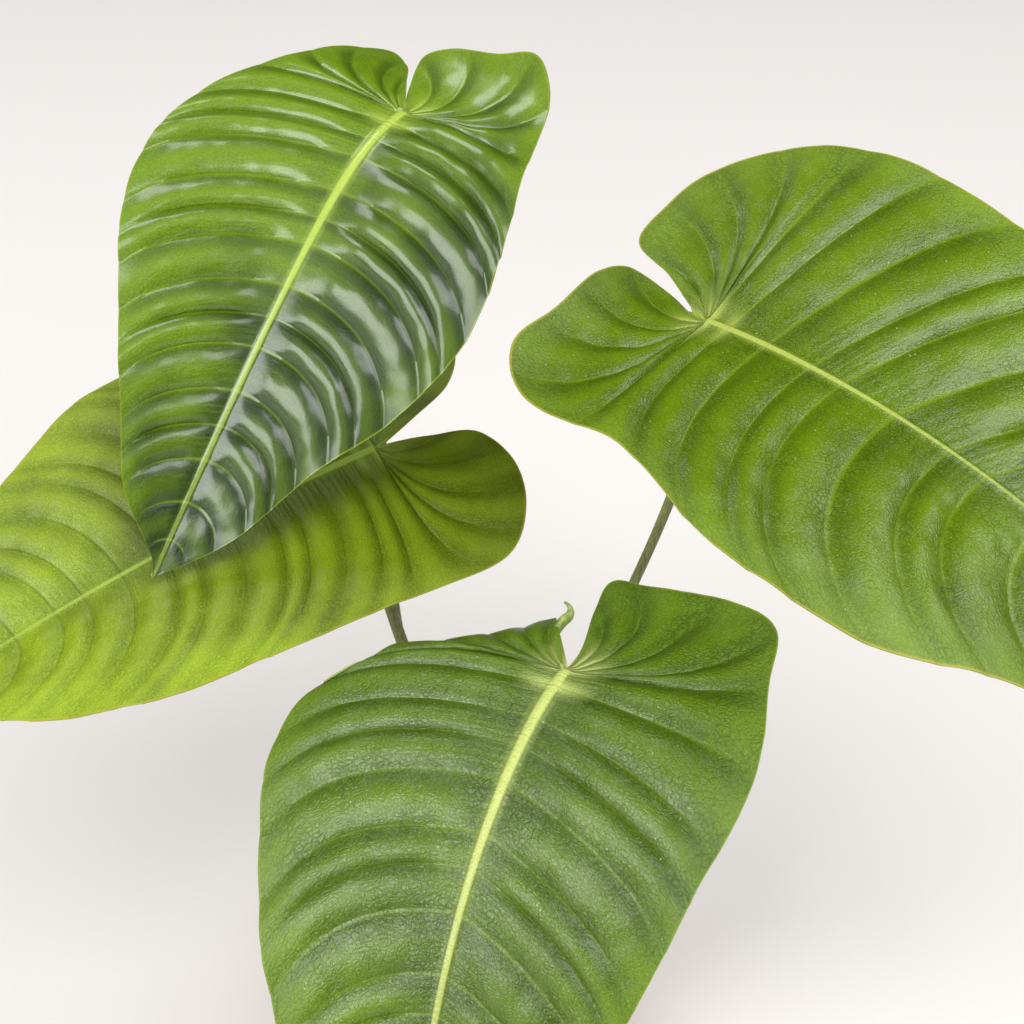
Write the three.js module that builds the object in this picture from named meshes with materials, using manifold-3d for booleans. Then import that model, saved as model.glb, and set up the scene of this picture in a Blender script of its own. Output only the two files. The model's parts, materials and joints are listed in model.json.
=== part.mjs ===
// A potted king anthurium: four long quilted leaves on arching petioles, rising from a short
// crown that stands in bark mix in a plain clay pot.
// Millimetres and degrees, +Z up, origin at the middle of the pot's foot.

import * as THREE from 'three';
import { mergeVertices } from 'three/addons/utils/BufferGeometryUtils.js';
import Module from 'manifold-3d';

const wasm = await Module();
wasm.setup();

// Pot, soil and crown
const POT_HEIGHT = 150;
const POT_FOOT_RADIUS = 58;
const POT_BODY_TOP_RADIUS = 78;
const POT_RIM_RADIUS = 82;
const POT_RIM_HEIGHT = 24;
const POT_WALL = 6;
const POT_FLOOR = 9;
const POT_SIDES = 48;
const DRAIN_HOLES = 3;
const DRAIN_RADIUS = 5;
const DRAIN_RING_RADIUS = 32;
const SOIL_TOP = 134;
const SOIL_DOME = 5;
const SOIL_ROUGHNESS = 1.6;
const SOIL_RINGS = 5;
const BARK_CHIPS = 30;
const CROWN_RADIUS = 17;
const CROWN_FOOT = 100;
const CROWN_TOP = 170;
const ROOT_RADIUS = 2.8;
const CLEARANCE = 0.35;
const SLIVER = 0.04;

// Aerial roots as their direction and how far they reach out from the crown
const ROOTS = [[0.4, 26], [1.9, 20], [3.3, 30], [4.6, 22], [5.6, 17]];

// Petioles
const PETIOLE_SIDES = 8;
const PETIOLE_RINGS = 22;
const FOOT_SWELL = 1.3;
const FOOT_LENGTH = 45;
const KNEE_SWELL = 1.32;
const KNEE_LENGTH = 20;
const SOCKET_DEPTH = 14;

// Blades
const BLADE_THICKNESS = 0.9;
const KEEL_AT_JUNCTION = 1.7;
const KEEL_AT_TIP = 0.4;
const MIDRIB_AT_JUNCTION = 1.5;
const MIDRIB_AT_TIP = 0.4;
const MIDRIB_HALF_WIDTH = 4.5;
const NECK_LENGTH = 30;
const LOBE_BEND_LENGTH = 60;
const ARCH_HALF_WIDTH = 100;
const FAN_RIDGES = 5;
const FAN_PULL = 0.6;
const LATERAL_OUT = 0.8;
const ROOT_CROWDING = 1.25;
const ROWS_PER_RIDGE = 2;
const COLUMNS = [0, 0.045, 0.14, 0.28, 0.44, 0.6, 0.76, 0.89, 1];
const SHORTEST_EDGE = 1.2;
const SPINE_STEP = 2;
const LOBE_REACH = 110;

const GREEN_GLOSSY = 0x2f5d12;
const GREEN_LIME = 0x7a9a1e;
const GREEN_SATIN = 0x5c8a1c;
const GREEN_DEEP = 0x466f1c;

// Each blade starts where its petiole meets it. heading is its compass direction seen from above,
// counted from +X, pitch how far the midrib points down, roll how far its left side is lifted.
// neck is how much flatter the blade lies at the junction; droop, sweep and twist are what pitch,
// heading and roll gain by the tip. A side has its own fold up from the midrib, at the junction and
// at the tip, its arch down towards the margin, and the droop of its basal lobe. A curl rolls the
// blade under beyond a line, given by a point on it, the direction turn across it and a radius. The
// veins of its basal fan reach fan of the way round the margin, the side veins are spread over the
// rest with the power spread, and they lean towards the tip as they leave the midrib. An outline
// runs from the sinus round the lobe to the tip, along and away from the midrib.
const LEAVES = [
  {
    junction: [-49, 155, 662],
    length: 284,
    heading: 228, pitch: 46, roll: -4,
    neck: 42, droop: 6, sweep: -2, twist: -26,
    ridges: 15, ridgeHeight: 3.8, marginWave: 1.6, seed: 0.7,
    color: GREEN_GLOSSY, roughness: 0.25,
    left: {
      lobeDroop: -55, fold: 12, tipFold: 2, arch: 16,
      fan: 0.39, spread: 0.9, lean: -0.12,
      outline: [[-2.3, -1.6], [-21, -16], [-40, -25], [-49, -8], [-54, 28], [-60, 54], [-44, 71],
        [-11, 83], [44, 103], [101, 103], [150, 84], [195, 56], [242, 34], [264, 18], [275, 8],
        [284, 0]],
    },
    right: {
      lobeDroop: 12, fold: 3, tipFold: 25, arch: 0,
      fan: 0.35, spread: 0.88, lean: 0.3,
      outline: [[-2.3, 1.6], [-24, 22], [-45, 43], [-52, 63], [-34, 74], [3, 84], [45, 103],
        [96, 106], [147, 82], [198, 55], [246, 31], [265, 13], [275, 4], [284, 0]],
    },
    petiole: {
      foot: [-7, 9, 158], bend: [[-96, 132, 292], [-84, 213, 452]],
      radius: 3.4, seat: 3.4,
    },
  },
  {
    junction: [-70, 90, 490],
    length: 370,
    heading: 206, pitch: 10, roll: -13,
    neck: 0, droop: 20, sweep: -4, twist: 0,
    ridges: 18, ridgeHeight: 1.8, marginWave: 1.4, seed: 2.1,
    color: GREEN_LIME, roughness: 0.5,
    left: {
      lobeDroop: 5, fold: 10, tipFold: 15, arch: 12,
      fan: 0.3, spread: 0.83, lean: -0.2,
      outline: [[-4, 0], [-31, 6], [-56, 15], [-65, 44], [-58, 77], [-36, 102], [8, 105], [66, 100],
        [132, 95], [196, 77], [258, 40], [319, 12], [370, 0]],
    },
    right: {
      lobeDroop: 10, fold: 25, tipFold: 12, arch: 0,
      fan: 0.34, spread: 0.89, lean: 0.1,
      outline: [[-4, 0], [-29, 9], [-55, 22], [-65, 42], [-55, 64], [-25, 83], [20, 94], [77, 102],
        [141, 101], [202, 77], [266, 47], [324, 17], [370, 0]],
    },
    petiole: {
      foot: [-10, -2, 158], bend: [[-22, 54, 292], [-92, 72, 394]],
      radius: 3.8, seat: 3,
    },
  },
  {
    junction: [107, 64, 591],
    length: 420,
    heading: -37, pitch: 2, roll: 1,
    neck: 3, droop: 44, sweep: -1, twist: 9,
    ridges: 15, ridgeHeight: 3.4, marginWave: 1.8, seed: 4.2,
    color: GREEN_SATIN, roughness: 0.42,
    left: {
      lobeDroop: -12, fold: 22, tipFold: 10, arch: 0,
      fan: 0.31, spread: 0.81, lean: 0.5,
      outline: [[-11.5, 5.1], [-36, 18.5], [-60, 26], [-61, 50], [-53, 86], [-23, 119], [26, 135],
        [91, 133], [164, 116], [238, 91], [312, 58], [374, 26], [420, 0]],
    },
    right: {
      lobeDroop: -35, fold: 6, tipFold: 4, arch: 10,
      fan: 0.3, spread: 0.87, lean: -0.24,
      outline: [[-11.5, -5.1], [-29, -11], [-51, -6], [-60, 18], [-58, 57], [-57, 92], [-34, 112],
        [21, 110], [87, 129], [158, 122], [224, 86], [299, 48], [366, 19], [420, 0]],
    },
    petiole: {
      foot: [9, 6, 158], bend: [[28, 55, 333], [118, 56, 464]],
      radius: 3.0, seat: 3,
    },
  },
  {
    junction: [31, -129, 538],
    length: 370,
    heading: 236, pitch: 32, roll: 0,
    neck: 29, droop: 52, sweep: 37, twist: -5,
    ridges: 18, ridgeHeight: 2.6, marginWave: 1.6, seed: 5.5,
    color: GREEN_DEEP, roughness: 0.45,
    left: {
      lobeDroop: 0, fold: 20, tipFold: 5, arch: 15,
      fan: 0.31, spread: 0.8, lean: 0.25,
      outline: [[-3.5, -1.3], [-16, -2], [-40, -10], [-61, -14], [-62, 4], [-62, 46], [-52, 74],
        [-21, 86], [18, 99], [71, 92], [136, 77], [202, 57], [269, 35], [327, 15], [370, 0]],
    },
    right: {
      lobeDroop: 0, fold: -8, tipFold: 8, arch: 12,
      fan: 0.31, spread: 0.88, lean: 0.2,
      curl: { along: -8, out: 28, turn: 145, radius: 31 },
      outline: [[-3.5, 1.3], [-11, 8], [-22, 18], [-35, 30], [-46, 43], [-51, 60], [-41, 78],
        [-19, 88], [21, 92], [60, 118], [114, 103], [175, 71], [247, 42], [315, 16], [370, 0]],
    },
    petiole: {
      foot: [5, -9, 158], bend: [[14, -49, 283], [22, -89, 409]],
      radius: 3.2, seat: 3.2,
    },
  },
];

// Small helpers

const radians = THREE.MathUtils.degToRad;
const vector = (point) => new THREE.Vector3(...point);

function smooth(value, from, to) {
  return THREE.MathUtils.smoothstep(value, from, to);
}

function seededRandom(seed) {
  let state = seed;
  return () => {
    state = (state * 16807) % 2147483647;
    return state / 2147483647;
  };
}

function meshGeometry(points, triangles) {
  const geometry = new THREE.BufferGeometry();
  const positions = points.flatMap((point) => [point.x, point.y, point.z]);
  geometry.setAttribute('position', new THREE.Float32BufferAttribute(positions, 3));
  geometry.setIndex(triangles.flat());
  return geometry;
}

function toSolid(geometry) {
  const bare = geometry.clone();
  bare.deleteAttribute('normal');
  bare.deleteAttribute('uv');
  const welded = mergeVertices(bare, 1e-4);
  return new wasm.Manifold(new wasm.Mesh({
    numProp: 3,
    vertProperties: new Float32Array(welded.attributes.position.array),
    triVerts: new Uint32Array(welded.index.array),
  }));
}

function fromSolid(solid) {
  const mesh = solid.asOriginal().simplify(SLIVER).getMesh();
  const geometry = new THREE.BufferGeometry();
  geometry.setAttribute('position', new THREE.Float32BufferAttribute(mesh.vertProperties, 3));
  geometry.setIndex([...mesh.triVerts]);
  return geometry;
}

function lathe(profile, sides) {
  const geometry = new THREE.LatheGeometry(profile.map(([r, z]) => new THREE.Vector2(r, z)), sides);
  return geometry.rotateX(Math.PI / 2);
}

// A closed round tube along a curve, with its own radius at each ring. The last ring can be laid
// in the plane through the curve's end with the given normal.
function taperedTube(curve, radiusAt, rings, sides, endNormal = null) {
  const frames = curve.computeFrenetFrames(rings, false);
  const points = [];
  for (let ring = 0; ring <= rings; ring++) {
    const along = ring / rings;
    const centre = curve.getPointAt(along);
    const radius = radiusAt(along);
    for (let side = 0; side < sides; side++) {
      const turn = (2 * Math.PI * side) / sides;
      const point = centre.clone()
        .addScaledVector(frames.normals[ring], radius * Math.cos(turn))
        .addScaledVector(frames.binormals[ring], radius * Math.sin(turn));
      if (endNormal && ring === rings) {
        const tangent = frames.tangents[ring];
        const lift = endNormal.dot(centre.clone().sub(point)) / endNormal.dot(tangent);
        point.addScaledVector(tangent, lift);
      }
      points.push(point);
    }
  }
  const triangles = [];
  for (let ring = 0; ring < rings; ring++) {
    for (let side = 0; side < sides; side++) {
      const next = (side + 1) % sides;
      const a = ring * sides + side;
      const b = ring * sides + next;
      const c = (ring + 1) * sides + next;
      const d = (ring + 1) * sides + side;
      triangles.push([a, b, c], [a, c, d]);
    }
  }
  const start = points.push(curve.getPointAt(0)) - 1;
  const end = points.push(curve.getPointAt(1)) - 1;
  const last = rings * sides;
  for (let side = 0; side < sides; side++) {
    const next = (side + 1) % sides;
    triangles.push([start, next, side], [end, last + side, last + next]);
  }
  return meshGeometry(points, triangles);
}

// Blades

class Blade {
  constructor(leaf) {
    this.leaf = leaf;
    this.origin = vector(leaf.junction);
    this.margins = {
      left: this.marginCurve(leaf.left.outline),
      right: this.marginCurve(leaf.right.outline),
    };
    this.spineAhead = this.walkSpine('left', 1, leaf.length * 1.05);
    this.spineBehind = {
      left: this.walkSpine('left', -1, LOBE_REACH),
      right: this.walkSpine('right', -1, LOBE_REACH),
    };
  }

  marginCurve(outline) {
    const points = outline.map(([along, out]) => new THREE.Vector3(along, out, 0));
    return new THREE.CatmullRomCurve3(points, false, 'centripetal');
  }

  // Directions at a distance along the midrib: forward, to the left, and up out of the blade
  frame(side, along) {
    const leaf = this.leaf;
    const ahead = Math.max(along, 0) / leaf.length;
    const behind = Math.min(along, 0) / LOBE_BEND_LENGTH;
    const neck = leaf.neck * Math.exp(-Math.max(along, 0) / NECK_LENGTH);
    const pitch = radians(leaf.pitch - neck + leaf.droop * ahead + leaf[side].lobeDroop * behind);
    const heading = radians(leaf.heading + leaf.sweep * ahead);
    const roll = radians(leaf.roll + leaf.twist * ahead);
    const compass = new THREE.Vector3(Math.cos(heading), Math.sin(heading), 0);
    const forward = compass.clone().multiplyScalar(Math.cos(pitch)).setZ(-Math.sin(pitch));
    const upright = compass.clone().multiplyScalar(Math.sin(pitch)).setZ(Math.cos(pitch));
    const left = new THREE.Vector3().crossVectors(upright, forward).applyAxisAngle(forward, roll);
    const up = upright.clone().applyAxisAngle(forward, roll);
    return { forward, left, up };
  }

  // Points of the midrib line every SPINE_STEP, ahead of the junction or behind it
  walkSpine(side, direction, reach) {
    const points = [this.origin.clone()];
    for (let along = SPINE_STEP / 2; along < reach; along += SPINE_STEP) {
      const { forward } = this.frame(side, direction * along);
      points.push(points.at(-1).clone().addScaledVector(forward, direction * SPINE_STEP));
    }
    return points;
  }

  spinePoint(side, along) {
    const points = along >= 0 ? this.spineAhead : this.spineBehind[side];
    const place = Math.min(Math.abs(along) / SPINE_STEP, points.length - 1.001);
    const index = Math.floor(place);
    return points[index].clone().lerp(points[index + 1], place - index);
  }

  // The bent surface without its relief: a point, the way out of the upper face, and the upright
  // of the midrib there
  bend(side, along, out) {
    const { curl } = this.leaf[side];
    if (!curl) {
      return this.bendFlat(side, along, out, 0);
    }
    const lineWay = radians(curl.turn);
    const beyond = Math.max(
      (along - curl.along) * Math.cos(lineWay) + (out - curl.out) * Math.sin(lineWay), 0);
    const rolled = beyond / curl.radius;
    const back = curl.radius * Math.sin(rolled) - beyond;
    const base = this.bendFlat(side, along + back * Math.cos(lineWay),
      out + back * Math.sin(lineWay), curl.radius * (Math.cos(rolled) - 1));
    const way = base.forward.clone().multiplyScalar(Math.cos(lineWay))
      .addScaledVector(base.outward, Math.sin(lineWay));
    const normal = base.normal.clone().multiplyScalar(Math.cos(rolled))
      .addScaledVector(way, Math.sin(rolled));
    return { ...base, normal };
  }

  bendFlat(side, along, out, height) {
    const { fold, tipFold, arch } = this.leaf[side];
    const sign = side === 'left' ? 1 : -1;
    const share = THREE.MathUtils.clamp(along / this.leaf.length, -0.2, 1);
    const start = radians(fold + (tipFold - fold) * share);
    const curvature = radians(arch || 0.01) / ARCH_HALF_WIDTH;
    const slope = start - curvature * out;
    const across = (Math.sin(start) - Math.sin(slope)) / curvature;
    const rise = (Math.cos(slope) - Math.cos(start)) / curvature;
    const { forward, left, up } = this.frame(side, along);
    const normal = up.clone().multiplyScalar(Math.cos(slope))
      .addScaledVector(left, -sign * Math.sin(slope));
    const outward = left.clone().multiplyScalar(sign * Math.cos(slope))
      .addScaledVector(up, Math.sin(slope));
    const point = this.spinePoint(side, along)
      .addScaledVector(left, sign * across)
      .addScaledVector(up, rise)
      .addScaledVector(normal, height);
    return { point, normal, up, forward, outward };
  }

  // Where a row lies: its share of the basal fan, then its share of the side veins. Rows count
  // ridges, first those of the fan; the ridges are a little uneven.
  order(row) {
    const { ridges, seed } = this.leaf;
    const rows = FAN_RIDGES + ridges;
    const shifted = row + 0.16 * Math.sin(2.1 * row + seed) * Math.sin((Math.PI * row) / rows);
    return {
      fanShare: THREE.MathUtils.clamp(shifted / FAN_RIDGES, 0, 1),
      sideShare: THREE.MathUtils.clamp((shifted - FAN_RIDGES) / ridges, 0, 1),
    };
  }

  // A point of a vein that leaves the junction, in the fan, or the midrib, ahead of it, and bends
  // round to the margin
  veinPoint(side, row, share) {
    const { fan, spread, lean } = this.leaf[side];
    const { fanShare, sideShare } = this.order(row);
    const around = fan * fanShare + (1 - fan) * sideShare ** spread;
    const margin = this.margins[side].getPointAt(around);
    const root = this.leaf.length * sideShare ** ROOT_CROWDING;
    const control = fanShare < 1
      ? this.fanControl(side, margin, fanShare)
      : { along: root + lean * (margin.x - root), out: LATERAL_OUT * margin.y };
    const rest = 1 - share;
    return {
      along: rest * rest * root + 2 * share * rest * control.along + share * share * margin.x,
      out: 2 * share * rest * control.out + share * share * margin.y,
    };
  }

  // The fan's veins set off ahead of their margin point and so reach it from inside the lobe
  fanControl(side, margin, fanShare) {
    const { fan, lean } = this.leaf[side];
    const lastMargin = this.margins[side].getPointAt(fan);
    const last = new THREE.Vector2(lean * lastMargin.x, LATERAL_OUT * lastMargin.y);
    const turn = (Math.atan2(margin.y, margin.x) + 2 * Math.PI) % (2 * Math.PI);
    const way = THREE.MathUtils.lerp(turn, last.angle(), Math.sqrt(fanShare));
    const pull = THREE.MathUtils.lerp(FAN_PULL, last.length() / lastMargin.length(), fanShare);
    const reach = pull * margin.length();
    return { along: reach * Math.cos(way), out: reach * Math.sin(way) };
  }

  // Height of the quilting: sunk along the veins, crowned between them, calm at midrib and margin
  quilting(row, share) {
    const { ridges, ridgeHeight, marginWave, seed } = this.leaf;
    const rows = FAN_RIDGES + ridges;
    const crown = Math.abs(Math.sin(Math.PI * row)) ** 0.75 - 0.6;
    const across = smooth(share, 0.01, 0.24) * (1 - 0.72 * smooth(share, 0.6, 1));
    const basal = 0.4 + 0.6 * smooth(row / FAN_RIDGES, 0.3, 1.3);
    const apical = smooth(1 - row / rows, 0, 0.22);
    const wave = marginWave * Math.sin(1.9 * row + seed) * share * share * apical;
    return ridgeHeight * crown * across * basal * apical + wave;
  }

  // Upper and lower points of the blade at one row and share
  pair(side, row, share) {
    const { along, out } = this.veinPoint(side, row, share);
    const { point, normal, up } = this.bend(side, along, out);
    const tipward = THREE.MathUtils.clamp(along / this.leaf.length, 0, 1);
    const fromRib = Math.hypot(Math.min(along, 0), out);
    const ribWidth = MIDRIB_HALF_WIDTH * (1 - 0.6 * tipward);
    const nearRib = Math.max(1 - fromRib / ribWidth, 0);
    const rib = THREE.MathUtils.lerp(MIDRIB_AT_JUNCTION, MIDRIB_AT_TIP, tipward) * nearRib;
    const keel = THREE.MathUtils.lerp(KEEL_AT_JUNCTION, KEEL_AT_TIP, tipward) * nearRib;
    const way = up.lerp(normal, smooth(fromRib, 0, 3 * ribWidth)).normalize();
    const upper = point.clone().addScaledVector(way, this.quilting(row, share) + rib);
    const lower = upper.clone().addScaledVector(way, -(BLADE_THICKNESS + rib + keel));
    return { upper, lower };
  }

  // Both halves as one closed sheet: upper face, the same triangles below, and a rim
  geometry() {
    const rows = (FAN_RIDGES + this.leaf.ridges) * ROWS_PER_RIDGE;
    const upper = [];
    const lower = [];
    const add = (pair) => {
      lower.push(pair.lower);
      return upper.push(pair.upper) - 1;
    };
    const near = (pair, index) => pair.upper.distanceTo(upper[index]) < SHORTEST_EDGE;
    const spine = [add(this.pair('left', 0, 0))];
    for (let step = 1; step <= rows; step++) {
      const pair = this.pair('left', step / ROWS_PER_RIDGE, 0);
      spine.push(near(pair, spine.at(-1)) ? spine.at(-1) : add(pair));
    }
    const acrossRow = (pairs, start) => {
      const margin = add(pairs.at(-1));
      const indices = [start];
      for (const pair of pairs.slice(1, -1)) {
        const known = [margin, indices.at(-1)].find((index) => near(pair, index));
        indices.push(known ?? add(pair));
      }
      return [...indices, margin];
    };
    const seam = acrossRow(COLUMNS.map((share) => this.seam(share)), spine[0]);
    const tip = COLUMNS.map(() => spine[rows]);
    const faces = [];
    for (const side of ['left', 'right']) {
      const grid = [seam];
      for (let step = 1; step < rows; step++) {
        const pairs = COLUMNS.map((share) => this.pair(side, step / ROWS_PER_RIDGE, share));
        grid.push(acrossRow(pairs, spine[step]));
      }
      grid.push(tip);
      for (let step = 0; step < rows; step++) {
        for (let column = 0; column < COLUMNS.length - 1; column++) {
          const a = grid[step][column];
          const b = grid[step][column + 1];
          const c = grid[step + 1][column + 1];
          const d = grid[step + 1][column];
          const quad = side === 'left' ? [[a, c, b], [a, d, c]] : [[a, b, c], [a, c, d]];
          faces.push(...quad.filter((face) => new Set(face).size === 3));
        }
      }
    }
    return this.closeSheet(upper, lower, faces);
  }

  // The two halves meet along the first row, which ends at the bottom of the sinus
  seam(share) {
    const left = this.pair('left', 0, share);
    const right = this.pair('right', 0, share);
    return {
      upper: left.upper.lerp(right.upper, 0.5),
      lower: left.lower.lerp(right.lower, 0.5),
    };
  }

  closeSheet(upper, lower, faces) {
    const count = upper.length;
    const edges = new Map();
    for (const face of faces) {
      face.forEach((from, corner) => edges.set(`${from},${face[(corner + 1) % 3]}`, true));
    }
    const triangles = [];
    for (const [a, b, c] of faces) {
      triangles.push([a, b, c], [a + count, c + count, b + count]);
    }
    for (const edge of edges.keys()) {
      const [from, to] = edge.split(',').map(Number);
      if (!edges.has(`${to},${from}`)) {
        triangles.push([from, from + count, to + count], [from, to + count, to]);
      }
    }
    return meshGeometry([...upper, ...lower], triangles);
  }
}

// Petioles

function petioleCurve(leaf, blade) {
  const { foot, bend, seat } = leaf.petiole;
  const { up } = blade.frame('left', 0);
  const top = blade.origin.clone().addScaledVector(up, -seat);
  return new THREE.CubicBezierCurve3(vector(foot), vector(bend[0]), vector(bend[1]), top);
}

function petioleRadius(leaf, curve, extra = 0) {
  const length = curve.getLength();
  return (along) => {
    const fromFoot = along * length;
    const fromTop = (1 - along) * length;
    const foot = (FOOT_SWELL - 1) * (1 - smooth(fromFoot, 0, FOOT_LENGTH));
    const knee = (KNEE_SWELL - 1) * (1 - smooth(fromTop, KNEE_LENGTH * 0.6, KNEE_LENGTH * 1.4));
    return leaf.petiole.radius * (1 + foot + knee) + extra;
  };
}

function petioleGeometry(leaf, blade) {
  const curve = petioleCurve(leaf, blade);
  const { up } = blade.frame('left', 0);
  return taperedTube(curve, petioleRadius(leaf, curve), PETIOLE_RINGS, PETIOLE_SIDES, up);
}

// Crown, soil and pot

function socketSolid(leaf) {
  const foot = vector(leaf.petiole.foot);
  const lean = vector(leaf.petiole.bend[0]).sub(foot).normalize();
  const bottom = foot.clone().addScaledVector(lean, -CLEARANCE);
  const top = foot.clone().addScaledVector(lean, SOCKET_DEPTH * 3);
  const radius = leaf.petiole.radius * FOOT_SWELL + CLEARANCE * 2;
  const line = new THREE.LineCurve3(bottom, top);
  return toSolid(taperedTube(line, () => radius, 2, 12));
}

// An aerial root arching from the crown into the mix; the hole it stands in is a little longer
function rootCurve([turn, reach], longer = 0) {
  const way = new THREE.Vector3(Math.cos(turn), Math.sin(turn), 0);
  const at = (out, height) => way.clone().multiplyScalar(out).setZ(height);
  return new THREE.CatmullRomCurve3([
    at(CROWN_RADIUS * 0.5, SOIL_TOP + 14), at(CROWN_RADIUS + 5, SOIL_TOP + 13),
    at(CROWN_RADIUS + reach * 0.6, SOIL_TOP + 8),
    at(CROWN_RADIUS + reach + longer * 0.3, SOIL_TOP - 6 - longer),
  ]);
}

function crownParts() {
  const body = toSolid(lathe([
    [0, CROWN_FOOT], [CROWN_RADIUS * 0.7, CROWN_FOOT + 2], [CROWN_RADIUS, SOIL_TOP - 8],
    [CROWN_RADIUS, SOIL_TOP + 12], [CROWN_RADIUS * 0.95, CROWN_TOP - 9],
    [CROWN_RADIUS * 0.7, CROWN_TOP - 2], [0, CROWN_TOP],
  ], 18));
  const roots = ROOTS.map((root) => toSolid(
    taperedTube(rootCurve(root), (along) => ROOT_RADIUS - 0.9 * along, 6, 6)));
  const scales = [0.9, 2.6, 4.0, 5.2].map((turn, i) => toSolid(scaleLeaf(turn, 26 + 5 * (i % 2))));
  return { body, roots, scales };
}

// A papery bract that wraps the crown and ends in a point
function scaleLeaf(turn, height) {
  const rows = 5;
  const spread = [0.62, 0.6, 0.5, 0.32, 0.14, 0.03];
  const points = [];
  for (let row = 0; row <= rows; row++) {
    const z = SOIL_TOP + 4 + (height * row) / rows;
    const radius = CROWN_RADIUS - 0.8 + 3.5 * (row / rows) ** 2;
    for (const [depth, side] of [[0, -1], [0, 1], [1.5, 1], [1.5, -1]]) {
      const angle = turn + side * spread[row];
      const distance = radius + depth;
      points.push(new THREE.Vector3(distance * Math.cos(angle), distance * Math.sin(angle), z));
    }
  }
  const triangles = [[0, 1, 2], [0, 2, 3]];
  for (let row = 0; row < rows; row++) {
    for (let corner = 0; corner < 4; corner++) {
      const a = row * 4 + corner;
      const b = row * 4 + ((corner + 1) % 4);
      triangles.push([a, b + 4, b], [a, a + 4, b + 4]);
    }
  }
  const top = rows * 4;
  triangles.push([top, top + 2, top + 1], [top, top + 3, top + 2]);
  return meshGeometry(points, triangles);
}

function potInnerRadius(z) {
  const share = z / POT_HEIGHT;
  return THREE.MathUtils.lerp(POT_FOOT_RADIUS, POT_BODY_TOP_RADIUS, share) - POT_WALL;
}

function potGeometry() {
  const rimFoot = POT_HEIGHT - POT_RIM_HEIGHT;
  const bodyRadius = (z) => potInnerRadius(z) + POT_WALL;
  const profile = [
    [0, 0], [POT_FOOT_RADIUS - 2, 0], [POT_FOOT_RADIUS, 2],
    [bodyRadius(rimFoot - 3), rimFoot - 3], [bodyRadius(rimFoot), rimFoot],
    [POT_RIM_RADIUS - 1.5, rimFoot + 1], [POT_RIM_RADIUS - 0.5, rimFoot + 3],
    [POT_RIM_RADIUS + 1, POT_HEIGHT - 2.5], [POT_RIM_RADIUS - 0.5, POT_HEIGHT],
    [potInnerRadius(POT_HEIGHT) + 1.5, POT_HEIGHT], [potInnerRadius(POT_HEIGHT), POT_HEIGHT - 2],
    [potInnerRadius(POT_FLOOR), POT_FLOOR], [0, POT_FLOOR],
  ];
  let pot = toSolid(lathe(profile, POT_SIDES));
  for (let hole = 0; hole < DRAIN_HOLES; hole++) {
    const turn = (2 * Math.PI * hole) / DRAIN_HOLES + Math.PI / 6;
    const drill = new THREE.CylinderGeometry(DRAIN_RADIUS, DRAIN_RADIUS, POT_FLOOR * 3, 16);
    drill.rotateX(Math.PI / 2);
    drill.translate(DRAIN_RING_RADIUS * Math.cos(turn), DRAIN_RING_RADIUS * Math.sin(turn), 0);
    pot = pot.subtract(toSolid(drill));
  }
  return fromSolid(pot);
}

function soilHeight(radius, turn) {
  const dome = SOIL_DOME * (1 - (radius / POT_BODY_TOP_RADIUS) ** 2);
  const lumps = Math.sin(radius * 0.31 + 2.3 * Math.sin(turn * 2))
    + Math.sin(turn * 5 + radius * 0.17) + 0.6 * Math.sin(turn * 9 - radius * 0.4);
  return SOIL_TOP + dome + SOIL_ROUGHNESS * 0.5 * lumps;
}

function soilBody() {
  const topRadius = potInnerRadius(SOIL_TOP) - CLEARANCE;
  const footZ = POT_FLOOR + CLEARANCE;
  const footRadius = potInnerRadius(footZ) - CLEARANCE;
  const points = [new THREE.Vector3(0, 0, footZ), new THREE.Vector3(0, 0, soilHeight(0, 0))];
  const ringPoint = (radius, side, z) => {
    const turn = (2 * Math.PI * side) / POT_SIDES;
    return new THREE.Vector3(radius * Math.sin(turn), radius * Math.cos(turn), z(turn));
  };
  const rings = [];
  const addRing = (radius, z) => {
    rings.push(points.length);
    for (let side = 0; side < POT_SIDES; side++) {
      points.push(ringPoint(radius, side, z));
    }
  };
  addRing(footRadius, () => footZ);
  addRing(topRadius, () => SOIL_TOP - 3);
  for (let ring = SOIL_RINGS - 1; ring > 0; ring--) {
    const radius = (topRadius * ring) / (SOIL_RINGS - 1) - (ring === SOIL_RINGS - 1 ? 1.5 : 0);
    addRing(radius, (turn) => soilHeight(radius, turn));
  }
  const triangles = [];
  for (let side = 0; side < POT_SIDES; side++) {
    const next = (side + 1) % POT_SIDES;
    triangles.push([0, rings[0] + side, rings[0] + next]);
    triangles.push([1, rings.at(-1) + next, rings.at(-1) + side]);
    for (let ring = 0; ring < rings.length - 1; ring++) {
      const low = rings[ring];
      const high = rings[ring + 1];
      triangles.push([low + side, high + next, low + next], [low + side, high + side, high + next]);
    }
  }
  return toSolid(meshGeometry(points, triangles));
}

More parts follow.
